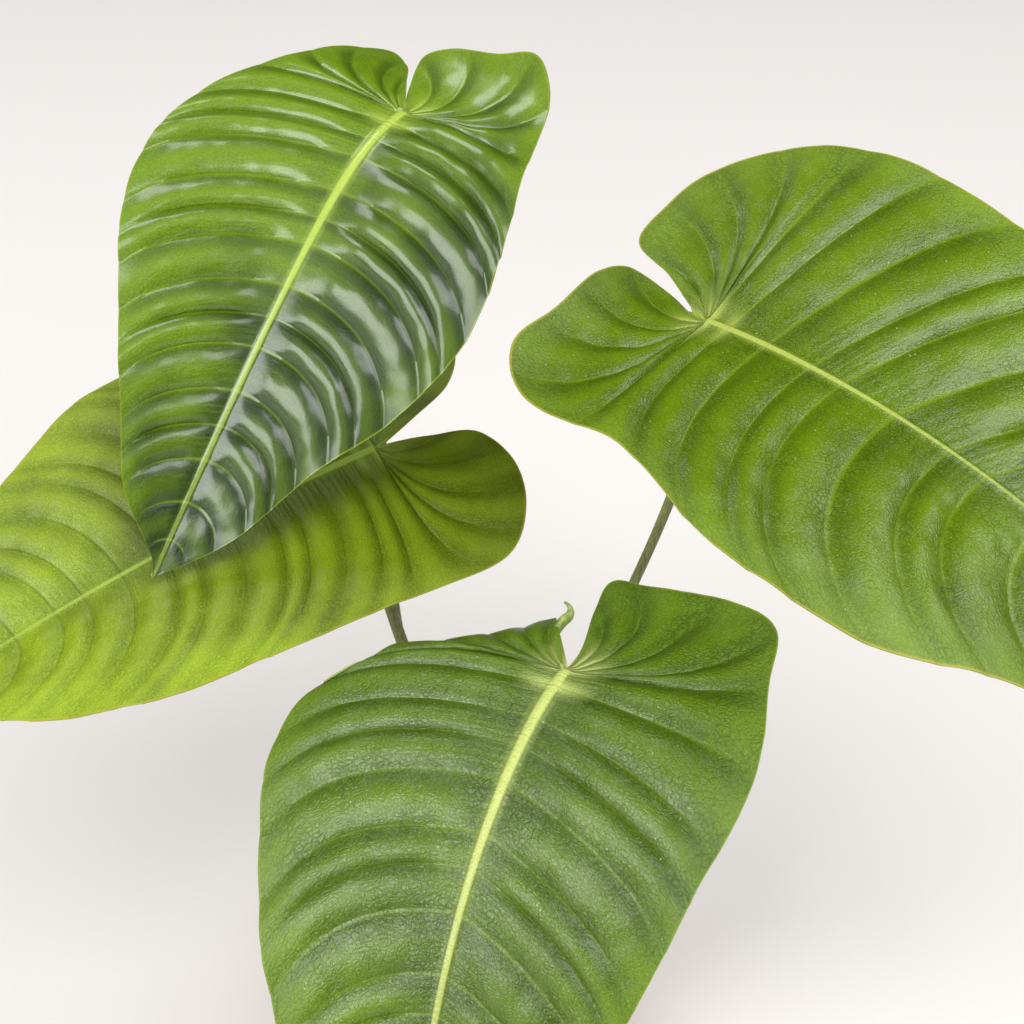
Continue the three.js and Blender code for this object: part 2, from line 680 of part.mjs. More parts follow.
function barkChip(random) {
  const length = 9 + 12 * random();
  const chip = new THREE.BoxGeometry(length, length * (0.45 + 0.3 * random()), 3.5 + 3 * random());
  const corners = chip.attributes.position;
  const jitter = new Map();
  for (let i = 0; i < corners.count; i++) {
    const key = [corners.getX(i), corners.getY(i), corners.getZ(i)].map(Math.sign).join();
    if (!jitter.has(key)) {
      jitter.set(key, [0, 0, 0].map(() => 1.6 * (random() - 0.5)));
    }
    const [dx, dy, dz] = jitter.get(key);
    corners.setXYZ(i, corners.getX(i) + dx, corners.getY(i) + dy, corners.getZ(i) + dz);
  }
  const turn = 2 * Math.PI * random();
  const place = THREE.MathUtils.lerp(
    (CROWN_RADIUS + 12) ** 2, (potInnerRadius(SOIL_TOP) - 13) ** 2, random()) ** 0.5;
  chip.rotateX(0.5 * (random() - 0.5));
  chip.rotateY(0.5 * (random() - 0.5));
  chip.rotateZ(2 * Math.PI * random());
  chip.translate(place * Math.sin(turn), place * Math.cos(turn), soilHeight(place, turn) + 0.6);
  return toSolid(chip);
}

function soilGeometry() {
  const random = seededRandom(4711);
  let soil = soilBody();
  for (let chip = 0; chip < BARK_CHIPS; chip++) {
    soil = soil.add(barkChip(random));
  }
  const radius = CROWN_RADIUS + CLEARANCE * 2;
  const hole = lathe([
    [0, CROWN_FOOT - CLEARANCE], [radius, CROWN_FOOT - CLEARANCE], [radius, SOIL_TOP + 1],
    [radius + 3, SOIL_TOP + 7], [radius + 3, CROWN_TOP], [0, CROWN_TOP],
  ], 18);
  soil = soil.subtract(toSolid(hole));
  for (const root of ROOTS) {
    const socket = taperedTube(rootCurve(root, 1), () => ROOT_RADIUS + 0.8, 6, 8);
    soil = soil.subtract(toSolid(socket));
  }
  return fromSolid(soil);
}

// Assembly

function addMesh(group, name, geometry, color, roughness, metalness = 0) {
  const material = new THREE.MeshStandardMaterial({ color, roughness, metalness });
  const mesh = new THREE.Mesh(geometry, material);
  mesh.name = name;
  group.add(mesh);
}

const plant = new THREE.Group();

addMesh(plant, 'pot', potGeometry(), 0xb0623c, 0.85);

const { body, roots, scales } = crownParts();
let crown = [...roots, ...scales].reduce((whole, piece) => whole.add(piece), body);
for (const leaf of LEAVES) {
  crown = crown.subtract(socketSolid(leaf));
}
addMesh(plant, 'crown', fromSolid(crown), 0x7a6238, 0.8);

addMesh(plant, 'potting_mix', soilGeometry(), 0x4a3424, 0.95);

LEAVES.forEach((leaf, i) => {
  const blade = new Blade(leaf);
  addMesh(plant, `petiole_${i + 1}`, petioleGeometry(leaf, blade), 0x5a5e22, 0.5);
  addMesh(plant, `blade_${i + 1}`, blade.geometry(), leaf.color, leaf.roughness);
});

export default plant;
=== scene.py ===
"""A potted king anthurium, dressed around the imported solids.

Four long quilted leaves stand on arching petioles above a short crown, bark mix and a plain clay
pot. Sizes are in millimetres until a mesh is made, which is in metres, and angles are in degrees
unless a docstring says radians.
"""
import json
import logging
import math
from collections.abc import Callable
from dataclasses import dataclass
from enum import Enum

import bmesh
import bpy
import numpy as np
from mathutils import Euler, Matrix, Vector

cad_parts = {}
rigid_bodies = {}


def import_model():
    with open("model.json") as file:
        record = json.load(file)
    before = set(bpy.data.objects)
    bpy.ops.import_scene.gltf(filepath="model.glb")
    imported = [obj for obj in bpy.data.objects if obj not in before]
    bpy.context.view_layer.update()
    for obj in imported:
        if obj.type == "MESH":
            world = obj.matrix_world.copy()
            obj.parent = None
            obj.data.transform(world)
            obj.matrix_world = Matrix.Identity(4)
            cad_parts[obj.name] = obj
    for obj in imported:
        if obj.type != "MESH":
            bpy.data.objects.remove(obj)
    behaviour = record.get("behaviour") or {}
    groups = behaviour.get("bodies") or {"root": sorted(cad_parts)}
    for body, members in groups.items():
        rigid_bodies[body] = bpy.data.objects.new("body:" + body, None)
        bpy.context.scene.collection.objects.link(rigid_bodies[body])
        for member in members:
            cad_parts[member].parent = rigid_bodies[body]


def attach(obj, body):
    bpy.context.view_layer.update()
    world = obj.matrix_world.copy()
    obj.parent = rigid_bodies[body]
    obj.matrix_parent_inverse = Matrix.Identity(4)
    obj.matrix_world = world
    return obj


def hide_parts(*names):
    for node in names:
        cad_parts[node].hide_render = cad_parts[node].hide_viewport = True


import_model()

LOG = logging.getLogger("anthurium")

MM = 0.001
PHOTO_SIZE = 1024

Socket = bpy.types.NodeSocket
Value = Socket | float | tuple[float, ...]
Colour = tuple[float, float, float]
Place = tuple[float, float, float]


# Small helpers

def linear(red: float, green: float, blue: float) -> tuple[float, float, float, float]:
    """Turn a screen colour into the linear colour that a shader takes.

    Args:
        red: Red of 0 to 255.
        green: Green of 0 to 255.
        blue: Blue of 0 to 255.

    Returns:
        Red, green and blue of 0 to 1, and full opacity.
    """
    def channel(value: float) -> float:
        """Undo the screen's curve for one channel."""
        share = value / 255
        return share / 12.92 if share <= 0.04045 else ((share + 0.055) / 1.055) ** 2.4
    return channel(red), channel(green), channel(blue), 1.0


def smooth(value: float | np.ndarray, start: float, end: float) -> float | np.ndarray:
    """Rise smoothly from 0 at start to 1 at end."""
    share = np.clip((value - start) / (end - start), 0, 1)
    return share * share * (3 - 2 * share)


def unit(vectors: np.ndarray) -> np.ndarray:
    """Scale each row to length 1."""
    return vectors / np.linalg.norm(vectors, axis=-1, keepdims=True)


def deselect() -> None:
    """Leave object mode with nothing selected."""
    if bpy.context.object and bpy.context.object.mode != "OBJECT":
        bpy.ops.object.mode_set(mode="OBJECT")
    bpy.ops.object.select_all(action="DESELECT")


def activate(piece: bpy.types.Object) -> None:
    """Select one object alone and make it the active one.

    Args:
        piece: The object.
    """
    deselect()
    piece.select_set(True)
    bpy.context.view_layer.objects.active = piece


def link_new(name: str, data: bpy.types.ID) -> bpy.types.Object:
    """Put new object data into the scene.

    Args:
        name: The object's name.
        data: A mesh, curve, light or camera.

    Returns:
        The new object.
    """
    item = bpy.data.objects.new(name, data)
    bpy.context.scene.collection.objects.link(item)
    return item


def get_points(piece: bpy.types.Object) -> np.ndarray:
    """Read the mesh's vertices.

    Args:
        piece: The mesh object.

    Returns:
        Rows of x, y and z in metres.
    """
    points = np.empty(len(piece.data.vertices) * 3)
    piece.data.vertices.foreach_get("co", points)
    return points.reshape(-1, 3)


def set_points(piece: bpy.types.Object, points: np.ndarray) -> None:
    """Move the mesh's vertices to the given rows of x, y and z in metres."""
    piece.data.vertices.foreach_set("co", np.ascontiguousarray(points).ravel())
    piece.data.update()


def weld(piece: bpy.types.Object, gap: float = 1e-6, outwards: bool = False) -> None:
    """Merge the vertices that meet.

    Args:
        piece: The mesh object.
        gap: How close two vertices have to be, in metres.
        outwards: Whether all faces are then turned to point out.
    """
    activate(piece)
    bpy.ops.object.mode_set(mode="EDIT")
    bpy.ops.mesh.select_all(action="SELECT")
    bpy.ops.mesh.remove_doubles(threshold=gap)
    if outwards:
        bpy.ops.mesh.normals_make_consistent(inside=False)
    bpy.ops.object.mode_set(mode="OBJECT")


def smooth_faces(sharp_from: float) -> None:
    """Shade the active piece smooth, apart from edges sharper than this many degrees."""
    bpy.ops.object.shade_smooth_by_angle(angle=math.radians(sharp_from))


def apply_modifiers(piece: bpy.types.Object) -> None:
    """Apply every modifier of the piece, in order.

    Args:
        piece: The object.
    """
    activate(piece)
    for modifier in list(piece.modifiers):
        bpy.ops.object.modifier_apply(modifier=modifier.name)


def join(pieces: list[bpy.types.Object], name: str) -> bpy.types.Object:
    """Join the pieces into one object.

    Args:
        pieces: Objects with their place in their meshes; the first one stays.
        name: The joined object's name.

    Returns:
        The joined object.
    """
    deselect()
    for piece in pieces:
        piece.select_set(True)
    bpy.context.view_layer.objects.active = pieces[0]
    bpy.ops.object.join()
    whole = bpy.context.object
    whole.name = name
    whole.data.name = name
    return whole


def store(piece: bpy.types.Object, name: str, values: np.ndarray) -> None:
    """Keep one number for each vertex under a name that a material can read."""
    layer = piece.data.attributes.new(name, "FLOAT", "POINT")
    layer.data.foreach_set("value", np.ascontiguousarray(values, dtype=np.float32))


def store_evenly(piece: bpy.types.Object, name: str, value: float) -> None:
    """Keep the same number for every vertex."""
    store(piece, name, np.full(len(piece.data.vertices), value))


def ripples(u: np.ndarray, v: np.ndarray, waves: tuple[float, float], seed: int,
            count: int = 18) -> np.ndarray:
    """Give an uneven, repeatable surface made of many plane waves.

    Args:
        u: First coordinate of each place.
        v: Second coordinate of each place.
        waves: Shortest and longest wavelength.
        seed: Which pattern.
        count: Number of waves.

    Returns:
        Heights of about -1 to 1.
    """
    random = np.random.default_rng(seed)
    height = np.zeros_like(u)
    for _ in range(count):
        wavelength = random.uniform(*waves)
        way, phase = random.uniform(0, 2 * math.pi, 2)
        travelled = u * math.cos(way) + v * math.sin(way)
        height += np.sin(2 * math.pi * travelled / wavelength + phase)
    return height / math.sqrt(count)


class Slot(Enum):
    """The record's material slots."""

    TERRACOTTA = "terracotta"
    BARK_MIX = "bark_mix"
    CROWN_BARK = "crown_bark"
    PETIOLE = "petiole"
    LEAF_GLOSSY = "leaf_glossy"
    LEAF_LIME = "leaf_lime"
    LEAF_SATIN = "leaf_satin"
    LEAF_DEEP = "leaf_deep"


def finish_piece(piece: bpy.types.Object, material: bpy.types.Material, slot: Slot,
                 *nodes: str) -> None:
    """Dress a piece, ride it on the plant and hide the nodes that it stands for.

    Args:
        piece: The finished mesh.
        material: Its look.
        slot: The record's slot that it belongs to; not used.
        nodes: The nodes that it replaces.
    """
    piece.data.materials.clear()
    piece.data.materials.append(material)
    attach(piece, "root")
    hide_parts(*nodes)
    LOG.info("%s: %d faces", piece.name, len(piece.data.polygons))


# Materials

class Shader:
    """A material's node graph, with short calls for the nodes that the finishes use."""

    def __init__(self, name: str) -> None:
        """Start a material with only a principled shader and its output.

        Args:
            name: The material's name.
        """
        self.material = bpy.data.materials.new(name)
        self.material.use_nodes = True
        self.tree = self.material.node_tree
        self.tree.nodes.clear()
        self.surface = self.tree.nodes.new("ShaderNodeBsdfPrincipled")
        output = self.tree.nodes.new("ShaderNodeOutputMaterial")
        self.tree.links.new(self.surface.outputs[0], output.inputs["Surface"])

    def feed(self, socket: Socket, value: Value) -> None:
        """Link a socket to another one, or set its number or colour.

        Args:
            socket: The input to feed.
            value: Another node's output, or a plain value.
        """
        if isinstance(value, bpy.types.NodeSocket):
            self.tree.links.new(value, socket)
        else:
            socket.default_value = value

    def node(self, kind: str, *values: Value, **settings: str) -> bpy.types.Node:
        """Add a node.

        Args:
            kind: The node's type.
            values: What its first inputs take, in order.
            settings: Its options.

        Returns:
            The node.
        """
        node = self.tree.nodes.new(kind)
        for name, setting in settings.items():
            setattr(node, name, setting)
        for socket, value in zip(node.inputs, values):
            self.feed(socket, value)
        return node

    def math(self, operation: str, first: Value, second: Value = 0.0,
             third: Value = 0.0) -> Socket:
        """Work out one number from up to three."""
        return self.node("ShaderNodeMath", first, second, third, operation=operation).outputs[0]

    def times(self, *values: Value) -> Socket:
        """Multiply numbers, from the left.

        Args:
            values: Two or more numbers.

        Returns:
            Their product.
        """
        result = values[0]
        for value in values[1:]:
            result = self.math("MULTIPLY", result, value)
        return result

    def total(self, *values: Value) -> Socket:
        """Add numbers up, from the left.

        Args:
            values: Two or more numbers.

        Returns:
            Their sum.
        """
        result = values[0]
        for value in values[1:]:
            result = self.math("ADD", result, value)
        return result

    def distance(self, first: Value, second: Value) -> Socket:
        """Give the distance of a place from the middle, from its two coordinates."""
        squares = [self.math("POWER", value, 2.0) for value in (first, second)]
        return self.math("POWER", self.total(*squares), 0.5)

    def band(self, value: Value, start: float, end: float, low: Value = 0.0,
             high: Value = 1.0) -> Socket:
        """Go smoothly from low at start to high at end."""
        return self.node("ShaderNodeMapRange", value, start, end, low, high,
                         interpolation_type="SMOOTHSTEP").outputs[0]

    def mix(self, share: Value, first: Value, second: Value, blend: str = "MIX") -> Socket:
        """Mix two colours.

        Args:
            share: How much of the second one.
            first: The colour below.
            second: The colour on top.
            blend: The way of mixing.

        Returns:
            The mixed colour.
        """
        node = self.node("ShaderNodeMix", share, data_type="RGBA", blend_type=blend)
        self.feed(node.inputs[6], first)
        self.feed(node.inputs[7], second)
        return node.outputs[2]

    def tint(self, share: Value, colour: Value, filter_colour: Colour) -> Socket:
        """Darken a colour through a filter, by a share of 0 to 1."""
        return self.mix(share, colour, self.mix(1.0, colour, linear(*filter_colour), "MULTIPLY"))

    def objects(self) -> Socket:
        """Give the place in the object, in metres."""
        return self.tree.nodes.new("ShaderNodeTexCoord").outputs["Object"]

    def uv(self, name: str) -> Socket:
        """Give one of the piece's own maps."""
        return self.node("ShaderNodeUVMap", uv_map=name).outputs[0]

    def attribute(self, name: str) -> Socket:
        """Give a number kept at the vertices."""
        return self.node("ShaderNodeAttribute", attribute_name=name).outputs["Fac"]

    def split(self, vector: Socket) -> bpy.types.bpy_prop_collection:
        """Take a vector apart into its x, y and z."""
        return self.node("ShaderNodeSeparateXYZ", vector).outputs

    def vector(self, x: Value, y: Value, z: Value = 0.0) -> Socket:
        """Put a vector together."""
        return self.node("ShaderNodeCombineXYZ", x, y, z).outputs[0]

    def scaled(self, vector: Socket, x: float, y: float, z: float = 1.0) -> Socket:
        """Stretch a pattern's coordinates.

        Args:
            vector: The coordinates.
            x: Factor along x.
            y: Factor along y.
            z: Factor along z.

        Returns:
            The stretched coordinates.
        """
        node = self.node("ShaderNodeMapping", vector)
        node.inputs["Scale"].default_value = (x, y, z)
        return node.outputs[0]

    def noise(self, vector: Socket, scale: float, detail: float = 3.0,
              roughness: float = 0.55) -> Socket:
        """Give a cloudy pattern.

        Args:
            vector: Where the pattern is read.
            scale: How many clouds there are to a unit.
            detail: How many finer layers lie in them.
            roughness: How strong the finer layers are.

        Returns:
            The pattern, of 0 to 1.
        """
        node = self.tree.nodes.new("ShaderNodeTexNoise")
        for name, value in (("Vector", vector), ("Scale", scale), ("Detail", detail),
                            ("Roughness", roughness)):
            self.feed(node.inputs[name], value)
        return node.outputs["Fac"]

    def cells(self, vector: Socket, scale: float, feature: str = "DISTANCE_TO_EDGE") -> Socket:
        """Give a pattern of scattered cells.

        Args:
            vector: Where the pattern is read.
            scale: How many cells there are to a unit.
            feature: What is measured: the way to a cell's edge, or F1 for its middle.

        Returns:
            The distance.
        """
        node = self.node("ShaderNodeTexVoronoi", vector, feature=feature)
        node.inputs["Scale"].default_value = scale
        return node.outputs["Distance"]

    def bump(self, height: Socket, distance: float) -> None:
        """Shade the surface as if it had a fine relief.

        Args:
            height: The relief's pattern.
            distance: How high a pattern of 1 stands, in millimetres.
        """
        node = self.tree.nodes.new("ShaderNodeBump")
        node.inputs["Strength"].default_value = 1.0
        node.inputs["Distance"].default_value = distance * MM
        self.feed(node.inputs["Height"], height)
        self.feed(self.surface.inputs["Normal"], node.outputs[0])

    def dress(self, **sockets: Value) -> bpy.types.Material:
        """Set the principled shader's sockets.

        Args:
            sockets: A value for each socket's name, with _ for a space.

        Returns:
            The finished material.
        """
        for name, value in sockets.items():
            self.feed(self.surface.inputs[name.replace("_", " ")], value)
        return self.material


@dataclass(frozen=True)
class BladePlace:
    """What a leaf's skin reads at each place of the blade.

    The map plan holds the distances along the midrib and out from it in decimetres. Rows are
    counted from the sinus, with a side vein at each whole number, share runs from 0 at the midrib
    to 1 at the margin, and off_vein is the distance to the nearest vein in rows.
    """

    plan: Socket
    along: Socket
    out: Socket
    row: Socket
    share: Socket
    off_vein: Socket


@dataclass(frozen=True)
class LeafFinish:
    """The skin of one leaf: its greens, its veins, the light and shade painted on its ridges, and
    how it shines.
    """

    name: str
    deep: Colour
    fresh: Colour
    rib: Colour
    vein: Colour
    vein_strength: float
    net_strength: float
    roughness: float
    coat: float
    coat_roughness: float
    grain: float
    specular: float
    rim: Colour
    fresh_along: float
    fresh_and_lit_side: float = 0.0
    fresh_edge: float = 0.35
    freckles: float = 0.0
    wrinkle: float = 0.5
    dull_edge: float = 0.22
    rib_scale: float = 1.0
    # Strength of the shade painted on the petiole-facing flank of each ridge.
    painted_flank_shade: float = 0.3

    MOTTLE_FILTER = (205, 215, 150)
    GRAIN_FILTER = (176, 184, 165)
    NET_FILTER = (178, 190, 160)
    FLANK_SHADE_FILTER = (120, 140, 90)
    FRECKLE = (226, 236, 205)
    BELOW = (128, 158, 84)
    VEIN_BELOW = (176, 190, 110)
    RELIEF_HEIGHT = 0.55
    STREAKS_PER_ROW = 5
    WRINKLES_PER_ROW = 7.0
    WRINKLES_ACROSS = 9.0

    def greens(self, shader: Shader, at: BladePlace, mottle: Socket, grain: Socket) -> Socket:
        """Give slow drifts of green, fresher to one end, lighter to one side partly as painted
        light, mottled and grained.

        Args:
            shader: The material's graph.
            at: The place on the blade.
            mottle: A pattern of patches about 7 mm wide.
            grain: A pattern of specks about 1 mm wide.

        Returns:
            The colour.
        """
        drift = shader.noise(at.plan, 1.7, 2.0)
        # The side drift is partly painted light: it lightens one half of the blade and darkens the
        # other.
        side = shader.times(at.out, self.fresh_and_lit_side)
        lean = shader.times(shader.math("SUBTRACT", at.along, 1.5), -self.fresh_along)
        edge = shader.band(at.share, 0.55, 1.0, 0.0, self.fresh_edge)
        freshness = shader.total(shader.math("MULTIPLY_ADD", drift, 1.6, -0.45), side, lean, edge)
        colour = shader.mix(shader.band(freshness, 0.0, 1.0), linear(*self.deep),
                            linear(*self.fresh))
        colour = shader.tint(shader.band(mottle, 0.3, 0.7, 0.0, 0.35), colour,
                             self.MOTTLE_FILTER)
        return shader.tint(shader.band(grain, 0.42, 0.62, 0.55, 0.0), colour, self.GRAIN_FILTER)

    def net(self, shader: Shader, at: BladePlace) -> Socket:
        """Give the net of fine veins: cells drawn out along the side veins, and smaller ones.

        Args:
            shader: The material's graph.
            at: The place on the blade.

        Returns:
            How strongly a fine vein shows.
        """
        warped = shader.math("MULTIPLY_ADD", shader.noise(at.plan, 8, 2.0), 0.16, at.along)
        place = shader.vector(shader.times(at.row, 0.30), warped, at.out)
        coarse = shader.band(shader.cells(place, 24), 0.02, 0.16, 1.0, 0.0)
        patchy = shader.band(shader.noise(at.plan, 5, 2.0), 0.35, 0.7, 0.25, 1.0)
        fine = shader.band(shader.cells(at.plan, 52), 0.02, 0.20, 1.0, 0.0)
        lines = shader.total(shader.times(coarse, patchy), shader.times(fine, 0.5))
        return shader.times(lines, self.net_strength)

    def painted_ridge_shade(self, shader: Shader, at: BladePlace) -> Socket:
        """Give the painted shade on the flank of each ridge that faces the petiole, where the green
        is darkened.

        Args:
            shader: The material's graph.
            at: The place on the blade.

        Returns:
            How strongly the painted shade shows.
        """
        climb = shader.math("FRACT", at.row)
        return shader.times(shader.band(climb, 0.0, 0.12),
                            shader.band(climb, 0.22, 0.55, self.painted_flank_shade, 0.0),
                            shader.band(at.share, 0.8, 1.0, 1.0, 0.2))

    def painted_crest_light(self, shader: Shader, at: BladePlace) -> Socket:
        """Give the painted light on the ridges' crests, which are mixed a little towards the fresh
        green.
        """
        return shader.times(shader.band(at.off_vein, 0.10, 0.42, 0.0, 0.22),
                            shader.band(at.share, 0.05, 0.3))

    def side_vein(self, shader: Shader, at: BladePlace) -> Socket:
        """Give the thin lines sunk between the ridges, which fade towards the margin.

        Args:
            shader: The material's graph.
            at: The place on the blade.

        Returns:
            How strongly a side vein shows.
        """
        width = shader.band(at.share, 0.0, 1.0, 0.055, 0.03)
        line = shader.band(shader.math("DIVIDE", at.off_vein, width), 0.3, 1.0, 1.0, 0.0)
        fade = shader.band(at.share, 0.35, 0.95, 1.0, 0.15)
        return shader.times(line, fade, self.vein_strength)

    def midrib(self, shader: Shader, at: BladePlace, colour: Socket) -> Socket:
        """Lay the midrib, its soft margin and the pale star where the petiole joins.

        Args:
            shader: The material's graph.
            at: The place on the blade.
            colour: The blade's colour so far.

        Returns:
            The colour with the midrib.
        """
        rib = linear(*self.rib)
        width = shader.times(shader.band(at.along, 0.0, 1.4, 0.034, 0.019),
                             shader.band(at.along, 1.2, 3.6, self.rib_scale,
                                         0.5 * self.rib_scale))
        reach = shader.distance(shader.math("MINIMUM", at.along, 0.0), at.out)
        glow = shader.times(shader.band(shader.math("DIVIDE", reach, width), 0.9, 2.4, 0.22, 0.0),
                            shader.band(at.along, 0.3, 1.8, 1.0, 0.25))
        star = shader.times(shader.band(shader.distance(at.along, at.out), 0.03, 0.25, 0.85, 0.0),
                            shader.band(at.off_vein, 0.0, 0.42, 1.0, 0.25))
        colour = shader.mix(shader.math("MAXIMUM", glow, star), colour, rib)
        across = shader.math("DIVIDE", shader.math("ABSOLUTE", at.out), width)
        line = shader.times(shader.band(across, 0.55, 1.1, 1.0, 0.0),
                            shader.band(at.along, -0.04, 0.02),
                            shader.band(at.along, 0.5, 2.6, 1.0, 0.4))
        fibres = shader.noise(shader.scaled(at.plan, 3, 60), 4, 2.0)
        tone = shader.mix(fibres, rib, shader.mix(0.35, rib, linear(*self.fresh)))
        return shader.mix(line, colour, tone)

    def rim_and_freckles(self, shader: Shader, at: BladePlace, colour: Socket) -> Socket:
        """Lay the thin rim and tiny pale freckles.

        Args:
            shader: The material's graph.
            at: The place on the blade.
            colour: The blade's colour so far.

        Returns:
            The colour with the rim and the freckles.
        """
        rim = shader.times(shader.band(at.share, 0.984, 0.998), 0.75)
        colour = shader.mix(rim, colour, linear(*self.rim))
        speck = shader.band(shader.cells(at.plan, 22, "F1"), 0.05, 0.09, self.freckles, 0.0)
        sparse = shader.band(shader.noise(at.plan, 6.0, 1.0), 0.55, 0.62)
        return shader.mix(shader.times(speck, sparse), colour, linear(*self.FRECKLE))

    def underside(self, shader: Shader, under: Socket, vein: Socket, colour: Socket) -> Socket:
        """Make the underside paler, with its veins standing out.

        Args:
            shader: The material's graph.
            under: 1 on the underside and 0 above.
            vein: How strongly a side vein shows.
            colour: The upper side's colour.

        Returns:
            The colour of both sides.
        """
        below = shader.mix(0.55, colour, linear(*self.BELOW))
        below = shader.mix(vein, below, linear(*self.VEIN_BELOW))
        return shader.mix(under, colour, below)

    def dullness(self, shader: Shader, at: BladePlace, under: Socket, grain: Socket) -> Socket:
        """Give the roughness: dull below, and duller towards the margin above.

        Args:
            shader: The material's graph.
            at: The place on the blade.
            under: 1 on the underside and 0 above.
            grain: The fine grain.

        Returns:
            The roughness.
        """
        above = shader.math("ADD", shader.math("MULTIPLY_ADD", grain, 0.22, self.roughness - 0.11),
                            shader.band(at.share, 0.62, 0.95, 0.0, self.dull_edge))
        return shader.math("MAXIMUM", shader.times(under, 0.62), above)

    def streaks(self, shader: Shader, at: BladePlace) -> Socket:
        """Give the shallow folds, several to a ridge, that leave the midrib and soon fade.

        Args:
            shader: The material's graph.
            at: The place on the blade.

        Returns:
            The folds' height.
        """
        turns = shader.times(at.row, self.STREAKS_PER_ROW * 2 * math.pi)
        return shader.times(shader.math("SINE", turns),
                            shader.band(at.share, 0.02, 0.4, 0.12, 0.0))

    def wrinkles(self, shader: Shader, at: BladePlace) -> Socket:
        """Give the small uneven wrinkles, which follow the ridges.

        Args:
            shader: The material's graph.
            at: The place on the blade.

        Returns:
            The wrinkles' height.
        """
        place = shader.vector(shader.times(at.row, self.WRINKLES_PER_ROW),
                              shader.times(at.share, self.WRINKLES_ACROSS))
        return shader.noise(place, 1.0, 3.0, 0.6)

    def build(self) -> bpy.types.Material:
        """Build the skin.

        Returns:
            The material, which reads the maps plan and veins and the attribute under.
        """
        shader = Shader(self.name)
        plan = shader.uv("plan")
        along, out, _ = shader.split(plan)
        row, share, _ = shader.split(shader.uv("veins"))
        at = BladePlace(plan, along, out, row, share, shader.math("PINGPONG", row, 0.5))
        under = shader.attribute("under")
        mottle = shader.noise(plan, 14, 4.0, 0.6)
        grain = shader.noise(plan, 90, 3.0, 0.7)
        net = self.net(shader, at)
        vein = self.side_vein(shader, at)

        colour = self.greens(shader, at, mottle, grain)
        colour = shader.tint(net, colour, self.NET_FILTER)
        # Painted shade: the flank of each ridge that faces the petiole is darkened.
        colour = shader.tint(self.painted_ridge_shade(shader, at), colour, self.FLANK_SHADE_FILTER)
        # Painted light: each ridge's crest is mixed towards the fresh green.
        colour = shader.mix(self.painted_crest_light(shader, at), colour, linear(*self.fresh))
        colour = shader.mix(vein, colour, linear(*self.vein))
        colour = self.midrib(shader, at, colour)
        colour = self.rim_and_freckles(shader, at, colour)
        colour = self.underside(shader, under, vein, colour)

        relief = shader.total(
            shader.times(self.wrinkles(shader, at), self.wrinkle),
            shader.times(grain, self.grain), shader.times(mottle, self.grain * 1.2),
            shader.times(net, -0.5), shader.times(vein, -0.8), self.streaks(shader, at))
        shader.bump(relief, self.RELIEF_HEIGHT)
        return shader.dress(
            Base_Color=colour, Roughness=self.dullness(shader, at, under, grain),
            Coat_Weight=self.coat, Coat_Roughness=self.coat_roughness,
            Specular_IOR_Level=self.specular)


@dataclass(frozen=True)
class PetioleFinish:
    """Olive stalk skin with fine lengthwise streaks, paler at the knee and browner at the foot."""

    stalk: Colour = (106, 116, 44)
    shade: Colour = (80, 84, 32)
    blotch: Colour = (118, 124, 62)
    knee: Colour = (176, 184, 92)
    foot: Colour = (96, 78, 50)
    speck: Colour = (150, 152, 104)
    knee_length: float = 34
    foot_length: float = 60
    relief: float = 0.22

    def build(self) -> bpy.types.Material:
        """Build the skin.

        Returns:
            The material, which reads the attributes to_top and to_foot, in millimetres.
        """
        shader = Shader("petiole_skin")
        place = shader.objects()
        streaks = shader.noise(shader.scaled(place, 1, 1, 0.06), 900)
        blotch = shader.noise(place, 60)
        colour = shader.mix(shader.band(streaks, 0.35, 0.65), linear(*self.shade),
                            linear(*self.stalk))
        colour = shader.mix(shader.band(blotch, 0.52, 0.72, 0.0, 0.5), colour,
                            linear(*self.blotch))
        knee = shader.band(shader.attribute("to_top"), self.knee_length, 8)
        colour = shader.mix(shader.times(knee, 0.8), colour, linear(*self.knee))
        foot = shader.band(shader.attribute("to_foot"), self.foot_length, 8)
        colour = shader.mix(shader.times(foot, 0.6), colour, linear(*self.foot))
        specks = shader.band(shader.cells(place, 420, "F1"), 0.10, 0.18, 0.5, 0.0)
        colour = shader.mix(specks, colour, linear(*self.speck))
        shader.bump(shader.total(streaks, shader.times(specks, 0.8)), self.relief)
        roughness = shader.math("MULTIPLY_ADD", blotch, 0.2, 0.36)
        return shader.dress(Base_Color=colour, Roughness=roughness, Coat_Weight=0.15,
                            Coat_Roughness=0.3)


